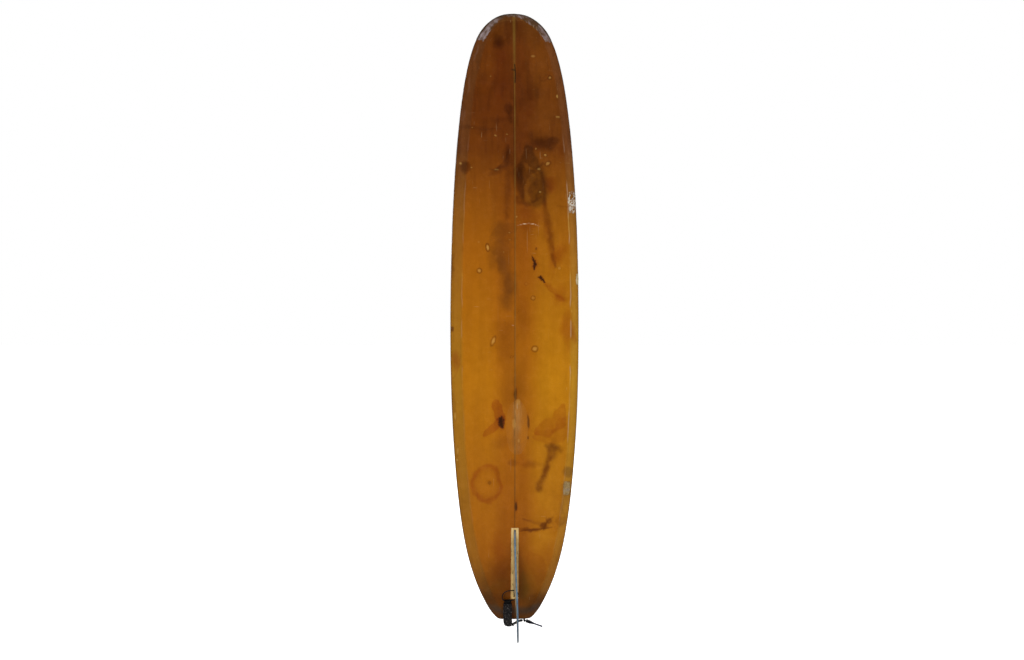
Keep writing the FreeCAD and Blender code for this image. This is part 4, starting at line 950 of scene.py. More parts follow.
def bottom_skin():
    """The bottom, running a little way under the lap and untouched round the fin box."""
    rows = np.linspace(0, 1, ROWS_BOTTOM)[None, :]

    def turns(inset):
        limit = np.minimum(lap_out(inset) + 4 / column_reach, 0.999)
        return np.arcsin(np.clip(rows * limit[:, None], 0, 1)) / np.pi

    piece, turn, _ = weld_halves("skin_bottom", turns(LAP_RIGHT), turns(LAP_LEFT), 0)
    if np.median(normals(piece)[:, 1]) > 0:
        flip(piece)
    places, outward = coords(piece), normals(piece)
    x, along = plan(places)
    to_rail = np.maximum(half_width(along), 1) - np.abs(x)
    under = smooth(3.0, -1.0, to_rail - np.where(x > 0, LAP_RIGHT, LAP_LEFT))
    from_box = np.maximum(np.abs(x) - 21.0, np.abs(along - BOX_CENTRE) - 168.0)
    lift = (relief(x, along) - 0.45 * under) * smooth(0, 30, from_box)
    set_paint(piece, *paint_bottom(x, along, np.sin(np.pi * turn)))
    set_coords(piece, places + outward * lift[:, None] / 1000)
    return piece


def arc_rows(edge_x, edge_along, turns):
    """Distance travelled over the skin at each turn, one row per outline point."""
    x, y, along = skin(edge_x[:, None], edge_along[:, None], turns)
    step = np.sqrt(np.diff(x, axis=1) ** 2 + np.diff(y, axis=1) ** 2
                   + np.diff(along, axis=1) ** 2)
    return np.concatenate([np.zeros((len(turns), 1)), np.cumsum(step, axis=1)], axis=1)


def deck_turns(inset):
    """Evenly spaced rows from the lap's edge round the rail to the deck's middle."""
    start = np.arcsin(lap_out(inset)) / np.pi
    dense = start[:, None] + (1 - start)[:, None] * np.linspace(0, 1, 420)[None, :]
    run = arc_rows(column_x, column_along, dense)
    turns = np.empty((COLUMNS, ROWS_DECK))
    share = np.concatenate([[0.0], np.linspace(0, 1, ROWS_DECK - 1)])
    for i in range(COLUMNS):
        goal = share * run[i, -1]
        goal[1] = 0.7       # a narrow first row makes the lap's step
        turns[i] = np.interp(goal, run[i], dense[i])
    turns[:, 0], turns[:, -1] = start, 1.0
    return turns


def deck_skin():
    """Deck, both rails and the laps on the bottom."""
    piece, turn, row = weld_halves("skin_deck", deck_turns(LAP_RIGHT), deck_turns(LAP_LEFT),
                                   ROWS_DECK - 1)
    if np.median(normals(piece)[turn > 0.8][:, 1]) < 0:
        flip(piece)
    places, outward = coords(piece), normals(piece)
    x, along = plan(places)
    out = np.sin(np.pi * turn)
    bottom, bottom_wear = paint_bottom(x, along, out)
    deck, deck_wear = paint_deck(x, along, out)
    blend = smooth(0.44, 0.62, turn + 0.03 * fbm(x, along, 60, seed=501))
    set_paint(piece, mix(bottom, deck, blend), bottom_wear * (1 - blend) + deck_wear * blend)
    lift = relief(x, along) * (1 - blend) + relief(x, along, bottom=False) * blend
    lift = np.where(row == 0, lift - 0.5, lift + 0.05)
    set_coords(piece, places + outward * lift[:, None] / 1000)
    return piece


def cut_box_hole(piece):
    """Opens the skin where the fin box sits."""
    work = bmesh.new()
    work.from_mesh(piece.data)
    half = BOX_HALF_WIDTH / 1000
    front, rear = Vector(fin_at(BOX_FRONT, 0, 0)), Vector(fin_at(BOX_REAR, 0, 0))
    forward = Vector(FORWARD)

    def nearby():
        found = []
        for face in work.faces:
            middle = face.calc_center_median()
            off = abs(middle.z - (BOX_CENTRE + BASE_Z) / 1000)
            if abs(middle.x) < 0.06 and middle.y < 0.12 and off < 0.19:
                found.append(face)
        return found

    near = nearby()
    for point, normal in (((half, 0, 0), (1, 0, 0)), ((-half, 0, 0), (1, 0, 0)),
                          (front, forward), (rear, forward)):
        parts = set(near)
        for face in near:
            parts.update(face.edges)
            parts.update(face.verts)
        bmesh.ops.bisect_plane(work, geom=list(parts), dist=1e-6, plane_co=point,
                               plane_no=normal)
        near = nearby()
    inside = []
    for face in near:
        middle = face.calc_center_median()
        between = (middle - rear).dot(forward) > 0 and (middle - front).dot(forward) < 0
        if abs(middle.x) < half and between:
            inside.append(face)
    bmesh.ops.delete(work, geom=inside, context="FACES")
    work.to_mesh(piece.data)
    work.free()
    piece.data.update()
    shade_smooth(piece)


skin_bottom = bottom_skin()
skin_deck = deck_skin()
cut_box_hole(skin_bottom)


# ------------------------------------------------------------------ repairs laid on the skin
def on_bottom(x, along, lift):
    """Bottom surface over plan position (x, along), lifted along its normal; mm."""
    edge = half_width(along)
    turn = np.arcsin(np.clip(np.abs(x) / edge, 0, 0.9995)) / np.pi
    at_x, at_y, at_along = skin(edge, along, turn)
    next_x, next_y, _ = skin(edge, along, np.clip(turn + 0.002, 0, 0.5))
    step_x, step_y = next_x - at_x, next_y - at_y
    length = np.hypot(step_x, step_y) + 1e-9
    side = np.where(x < 0, -1.0, 1.0)
    return (side * (at_x + step_y / length * lift), at_y - step_x / length * lift, at_along)


def patch(name, centre, half_size, power, ragged, lift, paint, rings=26, spokes=160):
    """Cloth laid on the bottom: a rounded shape with an irregular, feathered edge."""
    angle = np.linspace(0, 2 * np.pi, spokes, endpoint=False)
    cos, sin = np.cos(angle), np.sin(angle)
    outline = 1 / (np.abs(cos) ** power + np.abs(sin) ** power) ** (1 / power)
    bite = (1 - ragged * (0.5 + 0.5 * fbm(40 * cos, 40 * sin, 16, octaves=4, seed=601))
            - 0.5 * ragged * (0.5 + 0.5 * noise(60 * cos, 60 * sin, 4, seed=602)))
    share = np.linspace(0.0, 1, rings)[1:] ** 0.8
    radius = share[None, :] * (outline * bite)[:, None]
    x = centre[0] + half_size[0] * radius * cos[:, None]
    along = centre[1] + half_size[1] * radius * sin[:, None]
    limit = 0.9985 * half_width(along)
    x = np.clip(x, -limit, limit)
    inner = smooth(1.0, 0.80, share)[None, :]
    height = lift * (0.25 + 0.75 * inner) + 0.10 * fbm(x, along, 9, octaves=2, seed=603)
    height[:, -1] = -0.25       # the rim sinks into the skin
    height = height + relief(x, along)
    hub = on_bottom(np.array([centre[0]]), np.array([centre[1]]), np.array([lift]))
    verts = np.concatenate([world(*on_bottom(x, along, height)).reshape(-1, 3),
                            world(*hub).reshape(-1, 3)])
    index = np.arange(radius.size).reshape(radius.shape)
    faces = grid_faces(index, wrap_i=True)
    faces += [[len(verts) - 1, index[(i + 1) % spokes, 0], index[i, 0]] for i in range(spokes)]
    piece = new_object(name, verts, faces)
    if np.median(normals(piece)[:, 1]) > 0:
        flip(piece)
    set_paint(piece, *paint(np.concatenate([x.ravel(), [centre[0]]]),
                            np.concatenate([along.ravel(), [centre[1]]]),
                            np.concatenate([np.tile(share, spokes), [0.0]])))
    return piece


# columns: along, red, green, blue
OVAL_CORE = [(760, 126, 88, 44), (830, 132, 82, 32), (905, 150, 112, 66), (960, 172, 134, 84),
             (1010, 150, 104, 50)]


def paint_oval(x, along, radius):
    """Old cloth patch: a fibrous paler core that fades into the stained bottom."""
    own = bottom_colour(x, along)
    colour = scale(own, 1 + 0.10 * fbm(x, along, 60, seed=611))
    bent = x + 3 * noise(x, along, 60, seed=612)
    fibre = (smooth(0.25, 0.9, noise(bent, along / 14.0, 2.6, seed=613))
             * smooth(0.0, 0.8, 0.5 + fbm(x, along, 70, seed=614)))
    core = bell(x - 10 - 5 * wander(along, 60, seed=615), 17.0)
    colour = mix(colour, ramp(OVAL_CORE, along),
                 core * (0.40 + 0.34 * fbm(x, along, 40, seed=616)))
    colour = mix(colour, srgb(196, 160, 112), 0.55 * fibre * core)
    dark_fibre = smooth(0.3, 0.8, noise(x - 6, along / 16.0, 3.4, seed=617))
    colour = darken(colour, 0.35 * dark_fibre * core)
    colour = darken(colour, 0.10 * bell(radius - 0.93, 0.04)
                    * (1 + noise(x, along, 30, seed=619)))
    colour = mix(colour, srgb(188, 146, 92), bell(radius - 0.985, 0.02) * 0.16
                 * smooth(-0.1, 0.6, noise(x, along, 24, seed=618)))
    fade = smooth(0.72, 1.0, radius + 0.10 * fbm(x, along, 26, seed=620))
    colour = mix(colour, own, 0.7 * fade)
    return np.clip(colour, 0, 1), np.clip(0.25 + 0.5 * fibre * core, 0, 1)


def paint_chip(tone, seed, brown):
    """Painter for a filled chip: mottled filler, brown in its pits, fading out at the edge."""
    def paint(x, along, radius):
        colour = scale(np.ones(x.shape + (3,)) * tone,
                       1 + 0.25 * fbm(x, along, 14, octaves=4, seed=seed))
        pits = smooth(0.15, 0.6, fbm(x, along, 9, seed=seed + 1))
        colour = stain(colour, brown * pits, (0.45, 0.34, 0.22))
        grey = smooth(0.2, 0.7, fbm(x, along, 26, seed=seed + 2))
        colour = mix(colour, srgb(142, 132, 124), grey * 0.4)
        edge = smooth(0.72, 1.0, radius + 0.16 * fbm(x, along, 10, seed=seed + 3))
        colour = mix(colour, bottom_colour(x, along) * 0.8, edge)
        return np.clip(colour, 0, 1), np.clip(0.9 - edge * 0.5, 0, 1)
    return paint


FLAKE_GAPS = (1944.0, 1889.0)   # stations where amber shows right across the flakes


def paint_flakes(x, along, radius):
    """Shattered glass on the rail: pale zigzag flakes with amber showing between them."""
    base = bottom_colour(x, along)
    zigzag = noise(0.9 * x - 0.45 * along + 7 * fbm(x, along, 14, seed=651),
                   (along + 0.5 * x) * 0.32, 4.2, seed=652)
    flake = smooth(-0.30, 0.12, zigzag + 0.25 * fbm(x, along, 9, seed=653))
    flake = np.clip(flake * (0.75 + 0.5 * bell(along - 1918, 24.0)), 0, 1)
    for gap in FLAKE_GAPS:
        off = along - gap + 0.25 * (x - 256) + 3 * noise(x, along, 9, seed=654)
        flake = flake * (1 - 0.85 * bell(off, 3.2))
    tone = scale(srgb(204, 198, 184), 1 + 0.22 * fbm(x, along, 8, seed=655))
    tone = mix(tone, srgb(186, 150, 82), 0.55 * smooth(0.1, 0.6, fbm(x, along, 13, seed=656)))
    colour = mix(base * 0.92, tone, flake)
    edge = smooth(0.86, 1.0, radius + 0.22 * fbm(x, along, 8, seed=657))
    return np.clip(mix(colour, base * 0.9, edge), 0, 1), np.clip(0.9 * flake, 0, 1)


patch_oval = patch("patch_oval", centre=(9, 886), half_size=(54, 133), power=2.2, ragged=0.09,
                   lift=0.6, paint=paint_oval, rings=60, spokes=300)
chip_front = patch("chip_front", centre=(260, 1906), half_size=(27, 70), power=2.6,
                   ragged=0.34, lift=0.8, paint=paint_flakes, rings=44, spokes=240)
chip_mid = patch("chip_mid", centre=(283.5, 1556), half_size=(9, 35), power=2.4, ragged=0.22,
                 lift=0.8, paint=paint_chip(srgb(196, 178, 140), seed=631, brown=0.4))
chip_rear = patch("chip_rear", centre=(236, 607), half_size=(21, 39), power=4.5, ragged=0.16,
                  lift=0.8, paint=paint_chip(srgb(150, 126, 84), seed=641, brown=0.5),
                  rings=30, spokes=160)

NOSE_CLOTH_START = 2652.0
# columns: x, how far in from the rail the nose cloth is worn
NOSE_WORN = [(-190, 6), (-172, 26), (-150, 44), (-118, 46), (-96, 30), (-70, 24), (-40, 16),
             (0, 12), (28, 22), (50, 34), (90, 42), (130, 50), (158, 52), (172, 36), (190, 8)]
# columns: x, how much more of the pale fibre shows
NOSE_PALE = [(-172, 0.20), (-150, 0.22), (-110, -0.02), (-60, -0.10), (0, -0.16), (60, 0.02),
             (110, 0.16), (150, 0.34), (172, 0.30)]


def paint_nose(x, along, turn, reach, run, side):
    """Brown cloth, pale lilac where it has been rubbed through."""
    out = np.sin(np.pi * turn)
    bottom, deck = paint_bottom(x, along, out)[0], paint_deck(x, along, out)[0]
    base = mix(bottom, deck, smooth(0.45, 0.6, turn))
    to_rail = reach[:, None] * (1 - out)
    on_bottom_side = turn < 0.5
    side = side[:, None]
    ragged = (9 * fbm(x, along, 22, octaves=4, seed=711)
              + 5 * noise(x + along, (x - along) * 0.25, 5, seed=712))
    worn = smooth(6, -5, to_rail - lookup(NOSE_WORN, x) - ragged)
    streak = fbm(x + side * 0.7 * along, (along - side * 0.6 * x) * 0.22, 6, seed=713)
    streak = np.clip(0.50 + 0.75 * streak, 0, 1)
    patchy = smooth(-0.30, 0.34, fbm(x, along, 30, octaves=4, seed=714)
                    + lookup(NOSE_PALE, x))
    off_rim = smooth(3, 12, to_rail + 3 * wander(run, 15, seed=717)[:, None])
    patchy = patchy * (0.25 + 0.75 * off_rim)
    fibre = (np.clip(0.9 * worn * streak * patchy, 0, 1)
             * np.where(on_bottom_side, 1, 0.75 * smooth(0.9, 0.5, turn)))
    lilac = scale(srgb(140, 128, 132), 1 + 0.25 * fbm(x, along, 16, seed=715))
    dusk = base * np.array([0.42, 0.60, 1.6]) + 0.006
    colour = mix(mix(base, dusk, 0.85 * worn), lilac, fibre)
    dark = (smooth(10, 2, to_rail) * on_bottom_side
            * (0.62 + 0.25 * wander(run, 22, seed=716)[:, None])
            + 0.35 * bell(turn - 0.52, 0.05))
    colour = darken(colour, np.clip(dark, 0, 0.8))
    return np.clip(colour, 0, 1).reshape(-1, 3), np.clip(0.3 + fibre, 0, 1).ravel()


def nose_cloth():
    """Cloth wrapped round the nose rim, from one side's edge to the other's."""
    columns, rows = ((420, 70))
    search = np.linspace(RIM * 0.8, RIM, 4000)
    half_run = np.linspace(np.interp(NOSE_CLOTH_START, rim_along(search), search), RIM, columns)
    half_x, half_along = rim_x(half_run), rim_along(half_run)
    half_x[-1] = 0
    edge_x = np.concatenate([half_x, half_x[-2::-1]])
    edge_along = np.concatenate([half_along, half_along[-2::-1]])
    side = np.concatenate([np.ones(columns), -np.ones(columns - 1)])
    run = np.concatenate([half_run, 2 * RIM - half_run[-2::-1]])
    reach = np.hypot(edge_x, edge_along - spine(edge_along))
    # the cloth's ragged edges, in from the rail on the bottom and on the deck
    inset_bottom = (30 + 5 * wander(run, 60, seed=701, octaves=4) + 3 * wander(run, 9, seed=702)
                    + np.where(side > 0, 4, 6))
    inset_deck = (26 + 4 * wander(run, 50, seed=703, octaves=4) + 2 * wander(run, 9, seed=704))
    start = np.arcsin(1 - inset_bottom / reach) / np.pi
    end = 1 - np.arcsin(1 - inset_deck / reach) / np.pi
    dense = start[:, None] + (end - start)[:, None] * np.linspace(0, 1, 400)[None, :]
    arc = arc_rows(edge_x, edge_along, dense)
    girth = arc[:, -1:]
    over = np.linspace(0, 1, rows)[None, :] * girth
    turn = np.stack([np.interp(over[i], arc[i], dense[i]) for i in range(len(over))])
    x, y, along = skin(edge_x[:, None], edge_along[:, None], turn)
    x = x * side[:, None]
    places = world(x, y, along)
    outward = np.cross(np.gradient(places, axis=0), np.gradient(places, axis=1))
    outward /= np.maximum(np.linalg.norm(outward, axis=-1, keepdims=True), 1e-12)
    if np.median(outward[:, 2][:, 1]) > 0:
        outward = -outward
    to_edge = np.minimum(over, girth - over)
    to_end = np.minimum(run - run[0], run[-1] - run)[:, None]
    lift = (0.8 * smooth(0, 6, to_edge)
            * smooth(0, 8, to_end - 5 - 5 * wander(over, 12, seed=705))
            + 0.12 * fbm(x, over, 14, seed=706) + relief(x, along))
    lift[:, 0] = lift[:, -1] = lift[0, :] = lift[-1, :] = -0.4
    places = places + outward * lift[..., None] / 1000
    index = np.arange(turn.size).reshape(turn.shape)
    piece = new_object("nose_cloth", places.reshape(-1, 3), grid_faces(index))
    if normals(piece)[index[len(index) // 2, rows // 2]][2] < 0:
        flip(piece)
    set_paint(piece, *paint_nose(x, along, turn, reach, run, side))
    return piece


nose_strip = nose_cloth()


# ------------------------------------------------------------------ finishes
class Finish:
    """A small writer of node materials over object coordinates."""

    SHADER_INPUTS = dict(
        colour="Base Color", rough="Roughness", normal="Normal", metal="Metallic",
        coat="Coat Weight", coat_rough="Coat Roughness", spec="Specular IOR Level",
        sheen="Sheen Weight", sheen_rough="Sheen Roughness", glow="Emission Color",
        glow_strength="Emission Strength")

    def __init__(self, name):
        self.material = bpy.data.materials.new(name)
        self.material.use_nodes = True
        self.tree = self.material.node_tree
        self.tree.nodes.clear()
        output = self.add("OutputMaterial")
        self.shader = self.add("BsdfPrincipled")
        self.tree.links.new(self.shader.outputs[0], output.inputs[0])
        self.position = self.add("TexCoord").outputs["Object"]

    def add(self, kind, **settings):
        node = self.tree.nodes.new("ShaderNode" + kind)
        for key, value in settings.items():
            setattr(node, key, value)
        return node

    def put(self, socket, value):
        if isinstance(value, bpy.types.NodeSocket):
            self.tree.links.new(value, socket)
        else:
            socket.default_value = value

    def math(self, operation, *values):
        node = self.add("Math", operation=operation)
        for socket, value in zip(node.inputs, values + (0.0,) * (3 - len(values))):
            self.put(socket, value)
        return node

    def times(self, first, second):
        return self.math("MULTIPLY", first, second).outputs[0]

    def plus(self, first, second):
        return self.math("ADD", first, second).outputs[0]

    def texture(self, kind, mapping, settings, values):
        """A texture node, on stretched, moved or turned coordinates if mapping has any."""
        vector = self.position
        mapping = {key: value for key, value in mapping.items() if value}
        if mapping:
            node = self.add("Mapping")
            self.tree.links.new(vector, node.inputs["Vector"])
            for key, value in mapping.items():
                node.inputs[key].default_value = value
            vector = node.outputs[0]
        node = self.add(kind, **settings)
        self.tree.links.new(vector, node.inputs["Vector"])
        for key, value in values.items():
            node.inputs[key].default_value = value
        return node.outputs

    def noise(self, scale, detail=3.0, rough=0.5, stretch=None, offset=None, distortion=0.0):
        return self.texture("TexNoise", dict(Scale=stretch, Location=offset), {},
                            dict(Scale=scale, Detail=detail, Roughness=rough,
                                 Distortion=distortion))["Fac"]

    def voronoi(self, scale, feature="F1"):
        return self.texture("TexVoronoi", {}, dict(feature=feature),
                            dict(Scale=scale, Randomness=1.0))["Distance"]

    def wave(self, scale, axis, turn=None):
        return self.texture("TexWave", dict(Rotation=turn), dict(bands_direction=axis),
                            dict(Scale=scale, Distortion=0.0, Detail=0.0))["Fac"]

    def weave(self, scale, first, second, turn=None):
        """Two crossing sets of threads."""
        warp, weft = self.wave(scale, first, turn), self.wave(scale, second, turn)
        return self.times(warp, weft)

    def ramp(self, factor, *stops):
        node = self.add("ValToRGB")
        self.put(node.inputs[0], factor)
        elements = node.color_ramp.elements
        while len(elements) > 1:
            elements.remove(elements[-1])
        for i, (position, colour) in enumerate(stops):
            element = elements[0] if i == 0 else elements.new(position)
            element.position = position
            element.color = tuple(colour) + (1,)
        return node.outputs[0]

    def span(self, value, low, high, start=0.0, end=1.0):
        """value from low..high eased onto start..end."""
        node = self.add("MapRange", clamp=True, interpolation_type="SMOOTHSTEP")
        for i, item in enumerate((value, low, high, start, end)):
            self.put(node.inputs[i], item)
        return node.outputs[0]

    def mix(self, factor, first, second, how="MIX"):
        node = self.add("Mix", data_type="RGBA", blend_type=how)
        self.put(node.inputs[0], factor)
        for socket, colour in ((node.inputs[6], first), (node.inputs[7], second)):
            if not isinstance(colour, bpy.types.NodeSocket):
                colour = tuple(float(part) for part in colour) + (1.0,)
            self.put(socket, colour)
        return node.outputs[2]

    def over(self, colour, mark, mask, amount):
        """Lay a mark over the colour where the mask is, as strongly as amount."""
        return self.mix(self.times(mask, amount), colour, mark)

    def multiply(self, colour, other):
        return self.mix(1.0, colour, other, "MULTIPLY")

    def vary(self, colour, factor, *stops):
        """Multiply by a ramp."""
        return self.multiply(colour, self.ramp(factor, *stops))

    def bumps(self, *layers):
        """Normal from (height, distance) layers, lowest first."""
        normal = None
        for height, distance in layers:
            node = self.add("Bump")
            self.put(node.inputs["Height"], height)
            node.inputs["Distance"].default_value = distance
            node.inputs["Strength"].default_value = 1.0
            if normal is not None:
                self.tree.links.new(normal, node.inputs["Normal"])
            normal = node.outputs[0]
        return normal

    def paint(self):
        """The mesh's painted colour and wear."""
        node = self.add("Attribute", attribute_name="paint")
        return node.outputs["Color"], node.outputs["Alpha"]

    def end(self, **values):
        for key, value in values.items():
            self.put(self.shader.inputs[self.SHADER_INPUTS[key]], value)
        return self.material


WHITE = (1, 1, 1)


def resin(name, weave=0.5, gloss=0.34, coat=0.07):
    """Aged resin over glass cloth: painted stains, cloth print-through, fine scratches."""
    mat = Finish(name)
    colour, wear = mat.paint()
    mottle = mat.noise(28, detail=6, rough=0.62)
    fine = mat.noise(260, detail=4, rough=0.6)
    colour = mat.vary(colour, mottle, (0.30, (0.93, 0.92, 0.90)), (0.5, WHITE),
                      (0.72, (1.06, 1.07, 1.08)))
    colour = mat.vary(colour, fine, (0.25, (0.92, 0.90, 0.88)), (0.5, WHITE),
                      (0.78, (1.08, 1.09, 1.10)))
    # pinholes
    pinhole = mat.span(mat.voronoi(330), 0.16, 0.05)
    sparse = mat.span(mat.noise(14), 0.50, 0.66)
    colour = mat.over(colour, srgb(62, 34, 14), pinhole, mat.times(sparse, 0.7))
    # thin resin streaks along the cloth
    streak = mat.noise(34, detail=4, rough=0.55, stretch=(1.0, 1.0, 0.06))
    colour = mat.vary(colour, streak, (0.35, (0.965, 0.96, 0.95)), (0.6, (1.025, 1.025, 1.03)))
    # hairline scratches, lengthwise and crosswise
    length = mat.noise(160, detail=2, stretch=(1.0, 1.0, 0.012), offset=(3.1, 0, 0))
    cross = mat.noise(150, detail=2, stretch=(0.10, 0.4, 1.2), offset=(0, 0, 7.7))
    hair = mat.math("MAXIMUM", mat.span(length, 0.70, 0.735), mat.span(cross, 0.725, 0.76))
    hair = mat.times(hair.outputs[0], mat.span(mat.noise(5, detail=2), 0.42, 0.62))
    colour = mat.over(colour, srgb(206, 172, 122), hair, 0.16)
    cloth = mat.weave(165, "X", "Z")
    colour = mat.over(colour, srgb(220, 170, 96), cloth, 0.07 * weave)
    rough = mat.plus(gloss, mat.times(wear, 0.42))
    rough = mat.plus(rough, mat.span(mottle, 0.3, 0.75, -0.06, 0.16))
    rough = mat.math("ADD", rough, mat.times(hair, 0.25))
    rough.use_clamp = True
    normal = mat.bumps((mat.noise(9, detail=4, rough=0.55), 0.0011), (cloth, 0.00004 * weave),
                       (fine, 0.00010), (mat.times(hair, -1.0), 0.00012))
    return mat.end(colour=colour, rough=rough.outputs[0], normal=normal, spec=0.08,
                   coat=mat.span(wear, 0.0, 0.6, coat, 0.0),
                   coat_rough=mat.span(mottle, 0.3, 0.7, 0.10, 0.32))


def chip_finish():
    mat = Finish("chalky_filler")
    colour, _ = mat.paint()
    grit = mat.noise(420, detail=5, rough=0.65)
    flake = mat.voronoi(190, feature="DISTANCE_TO_EDGE")
    colour = mat.vary(colour, grit, (0.28, (0.70, 0.64, 0.56)), (0.52, WHITE),
                      (0.8, (1.2, 1.2, 1.22)))
    colour = mat.over(colour, srgb(74, 46, 22), mat.span(flake, 0.05, 0.0), 0.5)
    normal = mat.bumps((grit, 0.0005), (mat.span(flake, 0.0, 0.1), 0.00035))
    return mat.end(colour=colour, rough=mat.span(grit, 0.3, 0.7, 0.62, 0.92), normal=normal,
                   spec=0.25)


def foam_finish():
    mat = Finish("polyurethane_foam")
    cell = mat.voronoi(900)
    age = mat.noise(6, detail=4, rough=0.6)
    colour = mat.ramp(age, (0.3, srgb(214, 190, 140)), (0.55, srgb(232, 214, 172)),
                      (0.75, srgb(198, 160, 98)))
    colour = mat.over(colour, srgb(160, 128, 78), mat.span(cell, 0.25, 0.0), 0.35)
    return mat.end(colour=colour, rough=0.88, spec=0.2,
                   normal=mat.bumps((mat.noise(700, rough=0.6), 0.0003)))


def wood_finish():
    mat = Finish("stringer_wood")
    patchy = mat.noise(3.0, stretch=(1, 1, 0.10))
    grain = mat.noise(90, detail=5, rough=0.62, stretch=(1.0, 1.0, 0.035), distortion=0.3)
    pores = mat.noise(240, detail=2, stretch=(1, 1, 0.02))
    colour = mat.ramp(grain, (0.28, srgb(112, 74, 32)), (0.48, srgb(170, 122, 62)),
                      (0.7, srgb(198, 152, 88)))
    colour = mat.mix(mat.span(patchy, 0.4, 0.7, 0.0, 0.5), colour, srgb(130, 84, 40))
    colour = mat.mix(mat.span(pores, 0.62, 0.7, 0, 0.7), colour, srgb(84, 52, 24))
    return mat.end(colour=colour, rough=mat.span(grain, 0.3, 0.7, 0.55, 0.75), spec=0.3,
                   normal=mat.bumps((grain, 0.0003)))


def bed_finish():
    mat = Finish("box_bed_resin")
    cloud = mat.noise(60, detail=5, rough=0.6)
    colour = mat.ramp(cloud, (0.3, srgb(78, 42, 12)), (0.5, srgb(140, 86, 26)),
                      (0.72, srgb(176, 124, 56)))
    bubble = mat.span(mat.voronoi(420), 0.14, 0.04, 0.0, 0.8)
    colour = mat.mix(bubble, colour, srgb(56, 30, 12))
    colour = mat.mix(mat.span(mat.noise(18), 0.55, 0.7, 0, 0.55), colour, srgb(192, 150, 92))
    return mat.end(colour=colour, rough=mat.span(cloud, 0.3, 0.7, 0.25, 0.5), coat=0.25,
                   normal=mat.bumps((mat.noise(150, detail=4), 0.0004)), coat_rough=0.2,
                   spec=0.35)


def box_finish():
    mat = Finish("box_moulded_plastic")
    cloud = mat.noise(22, detail=5, rough=0.6)
    colour = mat.ramp(cloud, (0.28, srgb(176, 142, 82)), (0.5, srgb(206, 172, 108)),
                      (0.75, srgb(222, 192, 132)))
    grime = mat.span(mat.noise(46, detail=5, rough=0.7, stretch=(2.2, 1, 0.5)), 0.56, 0.74)
    colour = mat.over(colour, srgb(128, 88, 40), grime, 0.40)
    dash = mat.times(mat.span(mat.noise(120, rough=0.6, stretch=(1.2, 1, 0.35)), 0.60, 0.66),
                     mat.span(mat.noise(10, detail=2), 0.42, 0.55))
    colour = mat.over(colour, srgb(66, 40, 18), dash, 0.8)
    speck = mat.span(mat.voronoi(260), 0.12, 0.04)
    colour = mat.over(colour, srgb(80, 58, 34), speck, 0.6)
    scuff = mat.span(mat.noise(90, stretch=(1, 1, 0.05)), 0.62, 0.68)
    colour = mat.over(colour, srgb(226, 212, 180), scuff, 0.35)
    # amber along both long edges
    split = mat.add("SeparateXYZ")
    mat.tree.links.new(mat.position, split.inputs[0])
    across = mat.plus(mat.math("ABSOLUTE", split.outputs[0]).outputs[0],
                      mat.times(mat.noise(40), 0.0012))
    colour = mat.mix(mat.span(across, 0.0163, 0.0178, 0.0, 0.85), colour, srgb(140, 84, 20))
    normal = mat.bumps((mat.noise(600), 0.00008), (scuff, -0.0001))
    return mat.end(colour=colour, rough=mat.span(cloud, 0.3, 0.7, 0.42, 0.62), normal=normal,
                   spec=0.3)


def fin_finish():
    mat = Finish("fin_glass_layup")
    colour, wear = mat.paint()
    cloud = mat.noise(26, detail=5, rough=0.62)
    fibre = mat.noise(240, rough=0.55, stretch=(0.2, 1.0, 0.09))
    colour = mat.vary(colour, cloud, (0.28, (0.80, 0.78, 0.74)), (0.5, WHITE),
                      (0.75, (1.14, 1.14, 1.12)))
    colour = mat.vary(colour, fibre, (0.3, (0.92, 0.92, 0.90)), (0.65, (1.06, 1.06, 1.06)))
    cloth = mat.weave(150, "Y", "Z")
    colour = mat.over(colour, srgb(206, 200, 180), cloth, 0.16)
    grime = mat.span(mat.noise(38, detail=5, rough=0.7), 0.56, 0.72)
    colour = mat.over(colour, srgb(78, 64, 46), grime, 0.35)
    scratch = mat.span(mat.noise(150, detail=2, stretch=(1, 0.12, 1.0)), 0.67, 0.71)
    colour = mat.over(colour, srgb(214, 208, 196), scratch, 0.4)
    normal = mat.bumps((cloth, 0.00006), (mat.noise(90, detail=4), 0.00022),
                       (scratch, -0.0001))
    rough = mat.plus(mat.span(cloud, 0.3, 0.7, 0.26, 0.46), mat.times(wear, 0.35))
    return mat.end(colour=colour, rough=rough, normal=normal, coat=0.2, coat_rough=0.2,
                   spec=0.4)


def bead_finish():
    mat = Finish("fin_edge_resin")
    colour, wear = mat.paint()
    cloud = mat.noise(40, detail=5, rough=0.6)
    colour = mat.vary(colour, cloud, (0.28, (0.76, 0.80, 0.84)), (0.5, WHITE),
                      (0.75, (1.18, 1.14, 1.10)))
    nick = mat.times(mat.span(mat.voronoi(160), 0.18, 0.06),
                     mat.span(mat.noise(20), 0.48, 0.6))
    colour = mat.over(colour, srgb(206, 206, 198), nick, 0.8)
    grime = mat.span(mat.noise(60, detail=4, rough=0.7), 0.56, 0.70)
    colour = mat.over(colour, srgb(60, 50, 40), grime, 0.45)
    normal = mat.bumps((mat.noise(120, detail=4), 0.0003), (nick, -0.0005))
    rough = mat.plus(mat.span(cloud, 0.3, 0.7, 0.22, 0.42), mat.times(wear, 0.4))
    return mat.end(colour=colour, rough=rough, normal=normal, coat=0.35, coat_rough=0.12,
                   spec=0.5)


